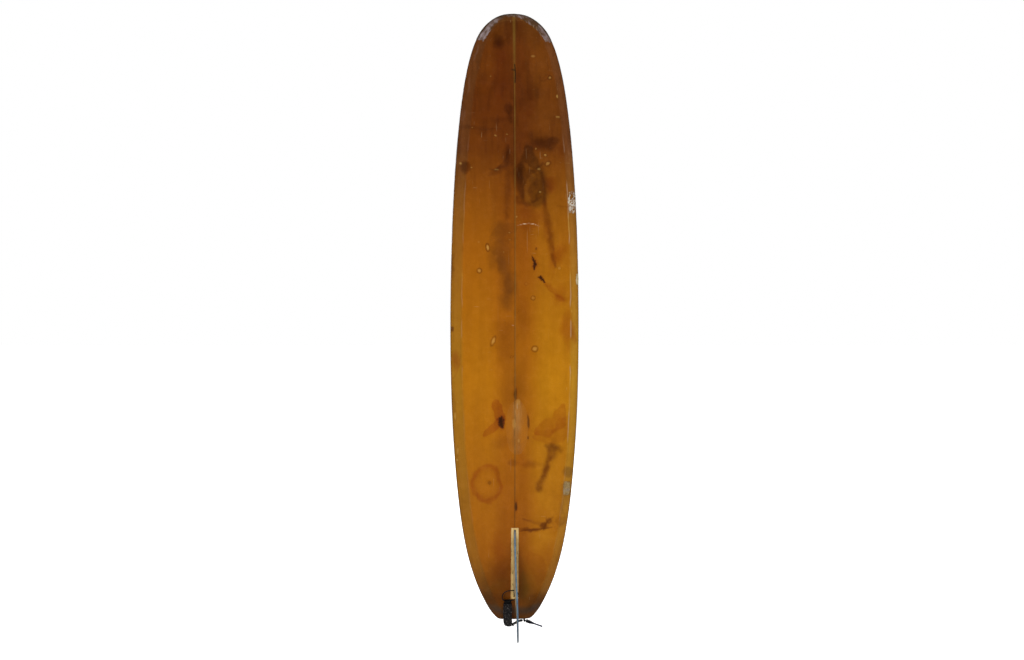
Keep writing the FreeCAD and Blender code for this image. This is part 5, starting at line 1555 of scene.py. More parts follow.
def metal_finish(name, tone, corroded, amount=0.5):
    mat = Finish(name)
    brushed = mat.noise(500, stretch=(1.0, 1.0, 0.08))
    cloud = mat.noise(70, detail=5, rough=0.65)
    colour = mat.ramp(cloud, (0.3, tone * 0.75), (0.55, tone), (0.8, tone * 1.15))
    rust = mat.span(mat.noise(160, detail=5, rough=0.7), 0.64 - 0.16 * amount,
                    0.76 - 0.16 * amount)
    colour = mat.mix(rust, colour,
                     mat.ramp(mat.noise(420), (0.35, corroded * 0.6), (0.65, corroded)))
    rough = mat.plus(mat.span(brushed, 0.3, 0.7, 0.20, 0.36), mat.times(rust, 0.45))
    return mat.end(colour=colour, rough=rough, metal=mat.span(rust, 0.0, 1.0, 1.0, 0.15),
                   normal=mat.bumps((brushed, 0.00003), (rust, 0.00012)))


def cloth_finish(name, dark, light, ridges, fuzz, dirt, painted=True):
    mat = Finish(name)
    yarn = mat.weave(ridges, "X", "Z", turn=(0, 0.6, 0))
    colour = mat.ramp(mat.noise(90, detail=5, rough=0.65), (0.3, dark), (0.7, light))
    if painted:
        colour = mat.multiply(colour, mat.paint()[0])
    # lighter on the raised yarns: a painted sheen over the weave's relief
    colour = mat.over(colour, light * 1.5, yarn, 0.25)
    lint = mat.span(mat.noise(700, rough=0.7), 0.62, 0.72)
    colour = mat.over(colour, srgb(126, 118, 112), lint, 0.30)
    salt = mat.span(mat.noise(48, detail=5, rough=0.7), 0.54, 0.72)
    colour = mat.over(colour, srgb(112, 100, 88), salt, dirt)
    return mat.end(colour=colour, rough=mat.span(salt, 0, 1, 0.82, 0.95), spec=0.2,
                   normal=mat.bumps((yarn, 0.00025), (mat.noise(900), 0.00025)),
                   sheen=fuzz, sheen_rough=0.5)


def fleece_finish():
    mat = Finish("flap_looped_pile")
    paint, _ = mat.paint()
    curl = mat.voronoi(620)
    clump = mat.noise(120, detail=5, rough=0.7)
    # lighter where the clumps stand higher: partly the pile's own tone, partly painted light on
    # the raised pile
    colour = mat.ramp(clump, (0.28, srgb(8, 7, 8)), (0.52, srgb(20, 18, 19)),
                      (0.78, srgb(52, 47, 47)))
    colour = mat.multiply(colour, paint)
    # lighter on the loop tops, where the pile stands highest: painted highlight
    colour = mat.mix(mat.span(curl, 0.5, 0.0, 0.0, 0.25), colour, srgb(48, 44, 45))
    lint = mat.span(mat.noise(800, detail=2), 0.68, 0.74)
    colour = mat.over(colour, srgb(140, 128, 112), lint, 0.4)
    # pale specks, partly dust and partly painted glints on the pile
    dust_and_glints = mat.span(mat.noise(120, detail=4, rough=0.65, distortion=0.8), 0.585, 0.66)
    colour = mat.over(colour, srgb(134, 126, 122), dust_and_glints, 0.62)
    return mat.end(colour=colour, rough=0.85, spec=0.18, sheen=0.08, sheen_rough=0.6,
                   normal=mat.bumps((curl, -0.0006), (clump, 0.0008)))


def rope_finish():
    mat = Finish("string_braid")
    colour, _ = mat.paint()
    fibre = mat.noise(900, rough=0.6, stretch=(1, 1, 0.4))
    colour = mat.vary(colour, fibre, (0.3, (0.55, 0.52, 0.52)), (0.55, WHITE),
                      (0.8, (1.35, 1.32, 1.30)))
    dirt = mat.span(mat.noise(150, detail=4, rough=0.7), 0.54, 0.70, 0, 0.5)
    colour = mat.mix(dirt, colour, srgb(58, 46, 38))
    return mat.end(colour=colour, rough=0.82, normal=mat.bumps((fibre, 0.0003)), spec=0.1,
                   sheen=0.02, sheen_rough=0.5)


def plastic_finish(name, dark, middle, light, rough=(0.35, 0.6), coat=0.0):
    mat = Finish(name)
    cloud = mat.noise(110, detail=5, rough=0.62)
    colour = mat.ramp(cloud, (0.28, srgb(*dark)), (0.52, srgb(*middle)), (0.78, srgb(*light)))
    scuff = mat.span(mat.noise(420, rough=0.6, stretch=(0.25, 1, 1)), 0.60, 0.68)
    colour = mat.over(colour, srgb(150, 148, 146), scuff, 0.30)
    salt = mat.span(mat.noise(85, detail=4, rough=0.7), 0.58, 0.75)
    colour = mat.over(colour, srgb(142, 132, 118), salt, 0.30)
    return mat.end(colour=colour, coat=coat, coat_rough=0.2, spec=0.4,
                   rough=mat.plus(mat.span(cloud, 0.3, 0.7, *rough), mat.times(salt, 0.15)),
                   normal=mat.bumps((mat.noise(700), 0.0001), (scuff, -0.0001)))


FINISHES = {
    "bottom": resin("aged_resin_bottom"),
    "deck": resin("aged_resin_deck", weave=0.8, gloss=0.42, coat=0.12),
    "repair": resin("repair_cloth_nose", weave=2.2, gloss=0.50, coat=0.05),
    "patch": resin("repair_cloth_patch", weave=2.6, gloss=0.44, coat=0.10),
    "chip": chip_finish(),
    "foam": foam_finish(),
    "wood": wood_finish(),
    "bed": bed_finish(),
    "box": box_finish(),
    "fin": fin_finish(),
    "bead": bead_finish(),
    "screw": metal_finish("screw_steel", srgb(170, 168, 160), srgb(116, 72, 36), 0.8),
    "nut": metal_finish("plate_brass", srgb(180, 150, 92), srgb(70, 100, 78), 0.6),
    "pin": metal_finish("pin_steel", srgb(92, 92, 90), srgb(70, 48, 30)),
    "link": metal_finish("link_steel", srgb(74, 75, 76), srgb(62, 44, 30)),
    "strap": cloth_finish("saver_webbing_weave", srgb(7, 6, 7), srgb(18, 17, 18),
                          ridges=520.0, fuzz=0.02, dirt=0.06),
    "thread": cloth_finish("stitch_thread", srgb(22, 20, 22), srgb(54, 50, 50),
                           ridges=900.0, fuzz=0.1, dirt=0.1, painted=False),
    "fleece": fleece_finish(),
    "rope": rope_finish(),
    "swivel": plastic_finish("swivel_nylon", (14, 14, 18), (26, 26, 32), (46, 46, 54)),
    "horn": plastic_finish("horn_urethane", (16, 18, 30), (28, 32, 50), (52, 56, 78),
                           rough=(0.3, 0.5)),
    "cord": plastic_finish("cord_urethane", (18, 22, 44), (30, 38, 70), (58, 66, 100),
                           rough=(0.16, 0.36), coat=0.3),
}


def dress(piece, key):
    materials = piece.data.materials
    if materials:
        for i in range(len(materials)):
            materials[i] = FINISHES[key]
    else:
        materials.append(FINISHES[key])
    for slot in piece.material_slots:
        slot.link = "OBJECT"
        slot.material = FINISHES[key]


def place(piece, finish, body, slot, *nodes):
    """Dress a piece and say which body it rides on and what it replaces; slot is not used."""
    dress(piece, finish)
    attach(piece, body)
    if nodes:
        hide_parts(*nodes)


place(skin_bottom, "bottom", "board", "bottom_laminate", "bottom_glass")
place(skin_deck, "deck", "board", "deck_laminate", "deck_glass")
place(nose_strip, "repair", "board", "repair_laminate", "nose_repair_cloth")
place(patch_oval, "patch", "board", "patch_laminate", "bottom_repair_patch")
place(chip_front, "chip", "board", "rail_patch", "rail_repair_front")
place(chip_mid, "chip", "board", "rail_patch", "rail_repair_mid")
place(chip_rear, "chip", "board", "rail_patch", "rail_repair_rear")
KEPT = {"foam_blank_left": "foam", "foam_blank_right": "foam", "stringer": "wood",
        "fin_box": "box", "fin_box_resin_bed": "bed", "fin_screw": "screw",
        "fin_plate_nut": "nut", "saver_pin": "pin", "swivel_link": "link",
        "swivel_barrel": "swivel", "cord_horn": "horn", "leash_cord": "cord"}
for node_name, finish in KEPT.items():
    dress(frame["nodes"][node_name], finish)


# ------------------------------------------------------------------ fin
# Foiled panel inside a resin edge. columns: back from the fin's front, out of the bottom
FIN_LEADING = np.array([
    (0.0, 0.0), (22.0, 7.0), (60.0, 22.5), (105.0, 48.0), (150.0, 82.0), (190.0, 119.0),
    (222.0, 152.0), (258.0, 187.0), (300.0, 217.0), (345.0, 238.0), (385.0, 249.0),
    (412.0, 253.5)])
FIN_TRAILING = np.array([
    (291.0, 0.0), (294.0, 22.0), (303.0, 58.0), (318.0, 105.0), (338.0, 148.0),
    (362.0, 187.0), (388.0, 219.0), (410.0, 240.0), (418.5, 248.5)])
FIN_HEIGHT = 252.6
FIN_HALF_THICKNESS = 4.15
FIN_FOOT = 0.8          # the fin's foot, clear of the bottom
BEAD_WIDTH = 9.0
TAB_HALF_WIDTH, TAB_BOTTOM = 4.75, -12.0


def through(points, count):
    """Points along a smooth curve through the given ones, evenly spaced."""
    run = run_of(points)
    at = np.linspace(0, run[-1], count)
    return np.stack([Cubic(run, column)(at) for column in points.T], axis=1)


def fin_grid():
    """Fin columns as back, height, distance to the edge and half thickness; and column counts."""
    leading, trailing = through(FIN_LEADING, 3000), through(FIN_TRAILING, 3000)
    rows, inner, edge = ((170, 72, 9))
    high = FIN_HEIGHT * (1 - (1 - np.linspace(0, 1, rows)) ** 1.35)
    front = np.interp(high, leading[:, 1], leading[:, 0])
    rear = np.interp(high, trailing[:, 1], trailing[:, 0])
    tip = trailing[-1]
    rear = np.where(high > tip[1], tip[0] - (high - tip[1]) * 0.8, rear)
    lean_front = np.hypot(1, np.gradient(front, high))
    lean_rear = np.hypot(1, np.gradient(rear, high))
    chord = np.maximum(rear - front, 1.0)
    bead_front = np.minimum(BEAD_WIDTH * lean_front, 0.46 * chord)
    bead_rear = np.minimum(BEAD_WIDTH * lean_rear, 0.46 * chord)
    ease = np.linspace(0, 1, edge + 1)
    middle = np.linspace(0, 1, inner + 1)[:-1]
    back = np.concatenate([
        front[:, None] + bead_front[:, None] * (ease[:-1] ** 1.6)[None, :],
        (front + bead_front)[:, None] + (chord - bead_front - bead_rear)[:, None] * middle,
        (rear - bead_rear)[:, None] + bead_rear[:, None] * (1 - (1 - ease) ** 1.6)[None, :],
    ], axis=1)
    high = np.repeat(high[:, None], back.shape[1], axis=1)
    from_front = (back - front[:, None]) / lean_front[:, None]
    from_rear = (rear[:, None] - back) / lean_rear[:, None]

    def rounded(distance, radius):
        return np.sqrt(np.clip(1 - (1 - np.clip(distance / radius, 0, 1)) ** 2, 0, 1))

    nose_radius = lookup([(0, 4.2), (215, 4.2), (250, 1.8)], high)
    lead = 0.90 * rounded(from_front, nose_radius) + 0.10 * np.clip(from_front / 30.0, 0, 1)
    taper = lookup([(0, 48), (200, 36), (235, 14), (250, 6)], high)
    tail = 0.30 + 0.70 * np.clip(from_rear / taper, 0, 1) ** 0.8
    half = FIN_HALF_THICKNESS * lookup([(0, 1), (230, 1), (253, 0.95)], high)
    half = half * np.minimum(lead, 1) * tail * rounded(from_rear, 2.0)
    half = half + 0.10 * fbm(back, high, 40, seed=801) * np.minimum(1, half)
    grids = back, high, np.minimum(from_front, from_rear), np.maximum(half, 0.02)
    return grids, edge, inner


def fin_part(name, grids, spans, bead):
    """A closed piece over each span of columns, painted."""
    verts, faces, places = [], [], []
    for first, last in spans:
        back, high, to_edge, half = (grid[:, first:last + 1] for grid in grids)
        base = sum(len(part) for part in verts)
        for side in (1, -1):
            verts.append(fin_at(back, side * half, FIN_FOOT + high).reshape(-1, 3))
            places.append(np.stack([back, high, to_edge], axis=-1).reshape(-1, 3))
        right = base + np.arange(back.size).reshape(back.shape)
        left = right + back.size
        faces += grid_faces(right) + grid_faces(left, flip=True)
        # close the front, rear, foot and top
        for seam in ((right[:, 0], left[:, 0]), (left[:, -1], right[:, -1]),
                     (left[0], right[0]), (right[-1], left[-1])):
            faces += grid_faces(np.stack(seam, axis=1))
    piece = new_object(name, np.concatenate(verts), faces)
    face_outwards(piece)
    set_paint(piece, *paint_fin(*np.concatenate(places).T, bead))
    return piece


def paint_fin(back, high, to_edge, bead):
    """Cream glass panel, or the grey-blue resin edge that darkens to the tip."""
    shape = back.shape + (3,)
    if bead:
        colour = np.ones(shape) * srgb(84, 118, 146)
        colour = mix(colour, srgb(62, 92, 118),
                     smooth(-0.2, 0.5, fbm(back, high, 50, octaves=4, seed=821)) * 0.6)
        colour = mix(colour, srgb(126, 146, 160), smooth(3.2, 0.4, to_edge)
                     * (0.35 + 0.3 * fbm(back, high, 18, seed=822)))
        colour = mix(colour, srgb(50, 62, 78), smooth(170, 250, high) * 0.6)
    else:
        colour = np.ones(shape) * srgb(172, 152, 110)
        colour = mix(colour, srgb(192, 176, 140),
                     smooth(-0.1, 0.5, fbm(back, high, 90, octaves=4, seed=811)) * 0.6)
        colour = mix(colour, srgb(120, 104, 76),
                     smooth(0.05, 0.5, fbm(back + 300, high, 70, octaves=4, seed=812)) * 0.5)
        # layers of glass stepped in toward the foil's edge
        for i, (step, tone) in enumerate(((14, 0.90), (22, 0.94), (31, 0.95), (42, 0.96))):
            wavy = to_edge + 3 * fbm(back, high, 60, octaves=2, seed=813 + i)
            colour = darken(colour, (1 - tone) * smooth(step + 1.2, step - 1.2, wavy))
            colour = darken(colour, 0.10 * bell(wavy - step, 0.9))
    colour = mix(colour, srgb(96, 70, 38), smooth(16, 0, high) * 0.5)
    wear = np.clip(0.25 + 0.4 * fbm(back, high, 40, seed=831), 0, 1)
    return np.clip(colour, 0, 1), wear


def fin_block(name, front, rear, low, top, rows):
    """A block under the fin, with rounded long edges."""
    half = TAB_HALF_WIDTH
    radius = min(0.8, half / 2, (top - low) / 4)
    profile = []
    for x, high, start in ((half - radius, top - radius, 0), (radius - half, top - radius, 90),
                           (radius - half, low + radius, 180),
                           (half - radius, low + radius, 270)):
        for angle in np.radians(np.linspace(start, start + 90, 5)):
            profile.append((x + radius * math.cos(angle), high + radius * math.sin(angle)))
    profile = np.array(profile)
    back = np.linspace(front, rear, rows)
    verts = fin_at(back[:, None], profile[None, :, 0], profile[None, :, 1])
    index = np.arange(rows * len(profile)).reshape(rows, -1)
    piece = new_object(name, verts.reshape(-1, 3),
                       grid_faces(index, wrap_j=True) + end_caps(index))
    face_outwards(piece)
    set_paint(piece, srgb(120, 108, 84), 0.5)
    return piece


def drill(piece, centre, radius, axis):
    """Bores a round hole through a piece; metres."""
    bpy.ops.mesh.primitive_cylinder_add(vertices=48, radius=radius, depth=0.06,
                                        location=centre)
    cutter = bpy.context.object
    cutter.rotation_mode = "QUATERNION"
    cutter.rotation_quaternion = Vector((0, 0, 1)).rotation_difference(Vector(axis))
    bpy.context.view_layer.update()
    bore = piece.modifiers.new("bore", "BOOLEAN")
    bore.object, bore.operation, bore.solver = cutter, "DIFFERENCE", "EXACT"
    apply_modifiers(piece)
    bpy.data.objects.remove(cutter)


def build_fin():
    grids, edge, inner = fin_grid()
    last = grids[0].shape[1] - 1
    foil = fin_part("fin_foil", grids, [(edge, edge + inner)], bead=False)
    bead = fin_part("fin_bead", grids, [(0, edge), (edge + inner, last)], bead=True)
    tab = fin_block("fin_tab", front=1.0, rear=287.0, low=TAB_BOTTOM, top=0.85, rows=120)
    tongue = fin_block("fin_tongue", front=286.0, rear=306.0, low=TAB_BOTTOM, top=-5.5,
                       rows=16)
    drill(tongue, fin_at(299.0, 0, -9.0), 0.0028, OUTWARD)      # for the screw
    string_hole = fin_at(277.0, 0, 13.0)
    for piece in (foil, bead):
        drill(piece, string_hole, 0.0032, (1, 0, 0))
    foil = join("fin_layup", foil, tab, tongue)
    bead.name = "fin_edge"
    place(foil, "fin", "fin", "fin_laminate", "fin_panel")
    place(bead, "bead", "fin", "bead_resin", "fin_edge_bead")
    for piece in (foil, bead):
        shade_smooth(piece)
        piece.data.set_sharp_from_angle(angle=math.radians(40))


build_fin()


# ------------------------------------------------------------------ string and knot
def unit(vector):
    return vector / np.linalg.norm(vector)


def tube(path, radius, sides, closed=False, twist=0.0, lobes=0, depth=0.0):
    """Rings of points (mm) along a path, lobed like braid if asked, and the lobe phase."""
    path = np.asarray(path, float)
    heading = np.gradient(path, axis=0)
    if closed:
        heading = np.roll(path, -1, axis=0) - np.roll(path, 1, axis=0)
    heading /= np.linalg.norm(heading, axis=1, keepdims=True)
    side = np.empty_like(heading)
    carried = np.array([0.31, 0.2, 0.93])
    for i, ahead in enumerate(heading):
        carried = unit(carried - ahead * (carried @ ahead))
        side[i] = carried
    gap = 0.0
    if closed:      # spread the leftover turn along the loop
        first = unit(side[0] - heading[-1] * (side[0] @ heading[-1]))
        gap = math.atan2(first @ np.cross(heading[-1], side[-1]), first @ side[-1])
    run = run_of(path)
    turn = gap * run / run[-1]
    angle = np.linspace(0, 2 * np.pi, sides, endpoint=False)[None, :] + turn[:, None]
    rise = np.cross(heading, side)
    ring = np.broadcast_to(np.asarray(radius, float).reshape(-1, 1), (len(path), 1))
    ring = ring * np.ones((1, sides))
    phase = np.zeros_like(ring)
    if lobes:
        if closed:  # a whole number of turns
            twist = 2 * np.pi * round(twist * run[-1] / (2 * np.pi)) / run[-1]
        right_lay = lobes * (angle - turn[:, None]) + twist * run[:, None]
        left_lay = lobes * (angle - turn[:, None]) - twist * run[:, None]
        crossing = np.sin(right_lay * 0.5 + 0.3) * np.sin(left_lay * 0.5) > 0
        upper = np.where(crossing, right_lay, left_lay)
        phase = np.cos(upper)
        ring = ring * (1 - depth + depth * np.abs(np.cos(upper * 0.5)))
    rings = (path[:, None, :] + side[:, None, :] * (ring * np.cos(angle))[..., None]
             + rise[:, None, :] * (ring * np.sin(angle))[..., None])
    return rings, phase.ravel()


def tube_object(name, rings, closed=False):
    index = np.arange(rings.shape[0] * rings.shape[1]).reshape(rings.shape[:2])
    faces = grid_faces(index, wrap_j=True, wrap_i=closed)
    if not closed:
        faces += end_caps(index)
    piece = new_object(name, rings.reshape(-1, 3) / 1000.0, faces)
    face_outwards(piece)
    shade_smooth(piece)
    return piece


def dense_path(points, count, closed=False):
    """Evenly spaced points on a smooth curve through the given ones."""
    points = np.asarray(points, float)
    own = len(points)
    if closed:
        points = np.concatenate([points[-4:], points, points[:5]])
    run = run_of(points)
    if closed:
        at = np.linspace(run[4], run[4 + own], count, endpoint=False)
    else:
        at = np.linspace(0, run[-1], count)
    return np.stack([Cubic(run, points[:, k])(at) for k in range(3)], axis=1)


# fin frame
KNOT = np.array([303.0, 11.6, 13.3])
KNOT_HEADING = unit(np.array([-0.92, 0.38, 0.065]))
HEM_BACK, HEM_HIGH = 326.0, 9.4
STRING_LOOP = [
    KNOT, KNOT + KNOT_HEADING * 5.2, (291.0, 14.6, 13.6), (284.2, 10.6, 13.3),
    (277.9, 3.2, 13.0), (276.6, -5.0, 13.2), (276.8, -16.0, 13.8), (278.5, -29.0, 13.8),
    (284.5, -44.0, 13.0), (295.0, -53.5, 11.8), (307.5, -57.0, 10.8), (319.0, -54.0, 9.9),
    (325.0, -46.5, 9.5), (HEM_BACK, -38.0, HEM_HIGH), (HEM_BACK, -26.0, HEM_HIGH),
    (325.4, -16.5, 9.5), (322.2, -7.0, 10.2), (316.8, 2.6, 11.7), KNOT - KNOT_HEADING * 5.2]


def string_cord():
    """The loop through the fin's hole and the webbing's hem."""
    loop = np.array([fin_mm(*point) for point in STRING_LOOP])
    path = dense_path(loop, 900, closed=True)
    rings, phase = tube(path, 2.28, 30, closed=True, twist=0.62, lobes=4,
                        depth=0.17)
    piece = tube_object("string_cord", rings, closed=True)
    x, z = rings.reshape(-1, 3)[:, 0] * 3, rings.reshape(-1, 3)[:, 2] * 3
    # the braid's crests painted lighter and its grooves darker: painted light and shade over the
    # lobes
    tone = srgb(30, 27, 28) * np.where(phase > 0.35, 1.25, 0.72)[:, None]
    tone = mix(tone, srgb(70, 58, 56), 0.30 * smooth(0.1, 0.6, fbm(x, z, 60, seed=901)))
    tone = mix(tone, srgb(22, 20, 21), 0.5 * smooth(0.0, 0.6, fbm(x, z, 44, seed=902)))
    set_paint(piece, np.clip(tone, 0, 1), 0.8)
    return piece


def string_knot():
    """Cord passing through itself as a trefoil, with two frayed tails."""
    angle = np.linspace(0, 2 * np.pi, 260, endpoint=False)
    trefoil = np.stack([np.sin(angle) + 2 * np.sin(2 * angle),
                        np.cos(angle) - 2 * np.cos(2 * angle), -1.25 * np.sin(3 * angle)],
                       axis=1)
    trefoil = trefoil * (3.15 / np.linalg.norm(trefoil, axis=1).max())
    centre = fin_mm(*KNOT)
    heading = unit(fin_mm(*(KNOT + KNOT_HEADING)) - centre)
    side = unit(np.cross(heading, [0.1, 1.0, 0.2]))
    rise = np.cross(heading, side)
    path = (centre + trefoil[:, :1] * side + trefoil[:, 1:2] * rise
            + trefoil[:, 2:3] * heading)
    rings, phase = tube(path, 1.72, 24, closed=True, twist=0.8, lobes=4,
                        depth=0.16)
    knot = tube_object("string_knot_lay", rings, closed=True)
    # the knot's braid crests painted lighter and its grooves darker: painted light and shade over
    # the lobes
    set_paint(knot, np.where((phase > 0.35)[:, None], srgb(60, 52, 52), srgb(34, 30, 30)), 0.8)
    parts = [knot]
    for sign in (1, -1):
        root = centre + 2.6 * sign * side
        bend = root + 3.2 * sign * side + 1.2 * rise
        tip = root + 5.0 * sign * side + 3.2 * rise - 1.0 * heading
        rings, _ = tube(dense_path([root, bend, tip], 18), 1.5, 14, twist=0.7, lobes=4,
                        depth=0.15)
        parts.append(tube_object("tail", rings))
        set_paint(parts[-1], srgb(52, 46, 46), 0.8)
        for i in range(7):      # frayed yarns
            spread = 2 * np.pi * i / 7
            start = tip + 0.8 * (math.cos(spread) * rise + math.sin(spread) * heading)
            end = start + 1.5 * sign * side + 0.9 * (
                math.cos(spread + 0.5) * rise + math.sin(spread + 0.5) * heading)
            yarn = dense_path([start - sign * side, start, end], 7)
            rings, _ = tube(yarn, np.linspace(0.36, 0.1, 7), 6)
            parts.append(tube_object("yarn", rings))
            set_paint(parts[-1], srgb(84, 76, 76), 0.8)
    knot = join("string_knot_lay_all", *parts)
    shade_smooth(knot)
    return knot


string = string_cord()
knot = string_knot()

# ------------------------------------------------------------------ rail saver webbing
STRAP_X = -32.0
CLIP_X, CLIP_Y, CLIP_ALONG = 46.5, 71.0, -5.5
TWILL_PITCH = 2.1
STRAP_CRUMPLE = 0.28


def on_strap(along, gap):
    """Centre of a strap lying under the tail, a gap out from the bottom's chord there."""
    part = (along - 6.0) / 86.0
    y = float(rocker(6.0)) * (1 - part) + float(rocker(92.0)) * part - gap
    return (STRAP_X, y, along)


ACROSS = (1, 0, 0)
# columns: centre (x, y, along), width direction, width, thickness
STRAP_ROWS = [
    (on_strap(91, 7.3), ACROSS, 31, 4.6), (on_strap(87, 7.1), ACROSS, 32, 4.8),
    (on_strap(80, 6.8), ACROSS, 39, 5.0), (on_strap(72, 6.3), ACROSS, 40, 5.0),
    (on_strap(50, 5.4), ACROSS, 40, 5.0), (on_strap(28, 5.0), ACROSS, 40, 5.0),
    ((-31.5, on_strap(6, 4.8)[1], 6), ACROSS, 40, 5.0),
    ((-28.5, 61.0, -11.5), (1, -0.1, 0.35), 38, 5.0),
    ((-17.5, 66.0, -21.5), (0.40, -0.80, 0.40), 35, 5.0),
    ((-2.0, 69.5, -20.5), (0, -1, 0.08), 32, 5.0), ((13.0, 71.0, -12.6), (0, -1, 0), 29, 5.0),
    ((28.0, 71.0, -7.6), (0, -1, 0), 26, 4.8), ((39.0, 71.0, -6.0), (0, -1, 0), 24, 4.6)]
FLAP_ROWS = [
    (on_strap(77, 10.1), ACROSS, 35, 1.6), (on_strap(64, 9.3), ACROSS, 38, 1.6),
    (on_strap(50, 9.0), ACROSS, 39, 1.6), (on_strap(28, 8.5), ACROSS, 39, 1.6),
    ((-31.5, on_strap(6, 8.6)[1], 6), ACROSS, 40, 1.6),
    ((-27.5, 59.0, -14.5), (1, -0.1, 0.35), 40, 1.6),
    ((-16.0, 60.5, -25.4), (0.40, -0.80, 0.40), 36, 1.6),
    ((-3.0, 62.0, -25.6), (0.05, -1, 0.08), 31, 1.6)]

# Evenly sampled strip: centre, width direction, normal, (width, thickness), run
Ribbon = namedtuple("Ribbon", "centre across normal size run")


def sample(at, run, table):
    """Each column of a table at the given runs."""
    return np.stack([np.interp(at, run, column) for column in table.T], axis=1)


def lay_ribbon(rows, count):
    centre = np.array([row[0] for row in rows], float)
    across = np.array([unit(np.array(row[1], float)) for row in rows])
    size = np.array([row[2:] for row in rows], float)
    knots = run_of(centre)
    run = np.linspace(0, knots[-1], count)
    centre = np.stack([Cubic(knots, column)(run) for column in centre.T], axis=1)
    across = sample(run, knots, across)
    heading = np.gradient(centre, axis=0)
    heading /= np.linalg.norm(heading, axis=1, keepdims=True)
    across = across - heading * np.sum(across * heading, axis=1, keepdims=True)
    across /= np.linalg.norm(across, axis=1, keepdims=True)
    return Ribbon(centre + BASE, across, np.cross(heading, across), sample(run, knots, size),
                  run)


def twill(distance):
    return np.sin(distance * 2 * np.pi / TWILL_PITCH)


def strap_band(ribbon, around):
    """Webbing with rolled edges, twill ribs and slight crumples, as one closed mesh."""
    def section(angle):
        cos, sin = np.cos(angle), np.sin(angle)
        return (np.sign(cos) * np.abs(cos) ** (2 / 7.0), np.sign(sin) * np.abs(sin) ** (2 / 2.6))

    size, count = ribbon.size, len(ribbon.run)
    # even spacing round a flat rounded outline
    fine = np.linspace(0, 2 * np.pi, 4000)
    section_run = run_of(np.stack(section(fine), axis=1) * size.mean(axis=0) / 2)
    even = np.linspace(0, section_run[-1], around, endpoint=False)
    wide, deep = (part[None, :] for part in section(np.interp(even, section_run, fine)))
    x = wide * (size[:, :1] / 2 - 0.35)
    y = deep * (size[:, 1:] / 2 - 0.30)
    run = np.repeat(ribbon.run[:, None], around, axis=1)
    y = y + STRAP_CRUMPLE * fbm(run, x, 18, seed=45)
    x = x + (STRAP_CRUMPLE * 0.8 * fbm(run, x * 0 + 7, 16, seed=49) * np.sign(wide)
             * (np.abs(wide) > 0.9))
    off_seam = np.abs(x) - (size[:, :1] / 2 - 3.2)
    y = y + np.sign(deep) * 0.10 * twill(run + np.abs(x)) * (np.abs(wide) < 0.985)
    y = y - np.sign(deep) * 0.35 * bell(off_seam, 0.8)
    verts = (ribbon.centre[:, None, :] + ribbon.across[:, None, :] * x[..., None]
             + ribbon.normal[:, None, :] * y[..., None])
    index = np.arange(count * around).reshape(count, around)
    piece = new_object("strap_band", verts.reshape(-1, 3) / 1000.0,
                       grid_faces(index, wrap_j=True) + end_caps(index))
    face_outwards(piece)
    worn = np.clip(0.5 + 0.5 * fbm(run, x, 22, octaves=4, seed=61), 0, 1)
    tone = 0.80 + 0.4 * worn + 0.45 * smooth(0.80, 1.0, np.abs(wide))
    # darker in the sunk seam lines and lighter on the twill ribs: painted shade and light that
    # follow the relief
    tone = tone * (1 - 0.35 * bell(off_seam, 1.0)) * (1 + 0.35 * twill(run + np.abs(x)))
    set_paint(piece, np.clip(tone, 0, 3).reshape(-1, 1), worn.ravel())
    return piece


def stitches(ribbon, lines, radius=0.32, face=1.0, lift=0.05):
    """Rows of sunk stitches along lines of (run, x) on one face of a ribbon."""
    length, gap = 2.2, 0.8
    rings = []
    for line in lines:
        line = np.asarray(line, float)
        line_run = run_of(line)
        for i in range(max(1, int(line_run[-1] / (length + gap)))):
            at = np.linspace(i * (length + gap), i * (length + gap) + length, 7)
            run, x = np.interp(at, line_run, line[:, 0]), np.interp(at, line_run, line[:, 1])
            centre, across, normal, size = (sample(run, ribbon.run, table)
                                            for table in ribbon[:4])
            sag = np.sin(np.linspace(0, np.pi, 7)) * 0.34 - 0.42
            path = (centre + across * x[:, None]
                    + normal * (face * (size[:, 1] / 2 + sag + lift))[:, None])
            rings.append(tube(path, radius, 6)[0])
    return rings


def tubes_object(name, tubes):
    faces, base = [], 0
    for rings in tubes:
        count, sides = rings.shape[:2]
        index = base + np.arange(count * sides).reshape(count, sides)
        faces += grid_faces(index, wrap_j=True, flip=True)
        faces += [list(index[0]), list(index[-1][::-1])]
        base += count * sides
    return new_object(name, np.concatenate([t.reshape(-1, 3) for t in tubes]) / 1000.0, faces)


def strap_stitching(ribbon):
    """Seams down both edges, and a crossed box near each end, on both faces."""
    def half(run):
        return np.interp(run, ribbon.run, ribbon.size[:, 0]) / 2

    total = ribbon.run[-1]
    lines = []
    for side in (1, -1):
        run = np.linspace(14, total - 3, 90)
        lines.append(np.stack([run, side * (half(run) - 3.2)], axis=1))
    for start, end, inset in ((14.0, 24.0, 4.0), (total - 30.0, total - 12.0, 5.5)):
        at_start, at_end = half(start) - inset, half(end) - inset
        lines += [[(start, -at_start), (start, at_start)], [(end, -at_end), (end, at_end)],
                  [(start, -at_start), (end, at_end)], [(start, at_start), (end, -at_end)]]
    face = 1.0 if ribbon.normal[len(ribbon.normal) // 4][1] < 0 else -1.0
    return tubes_object("strap_stitching", stitches(ribbon, lines, face=face)
                        + stitches(ribbon, lines, face=-face))


HEM_OUTER, HEM_INNER, HEM_HALF_WIDTH = 6.2, 3.75, 15.4


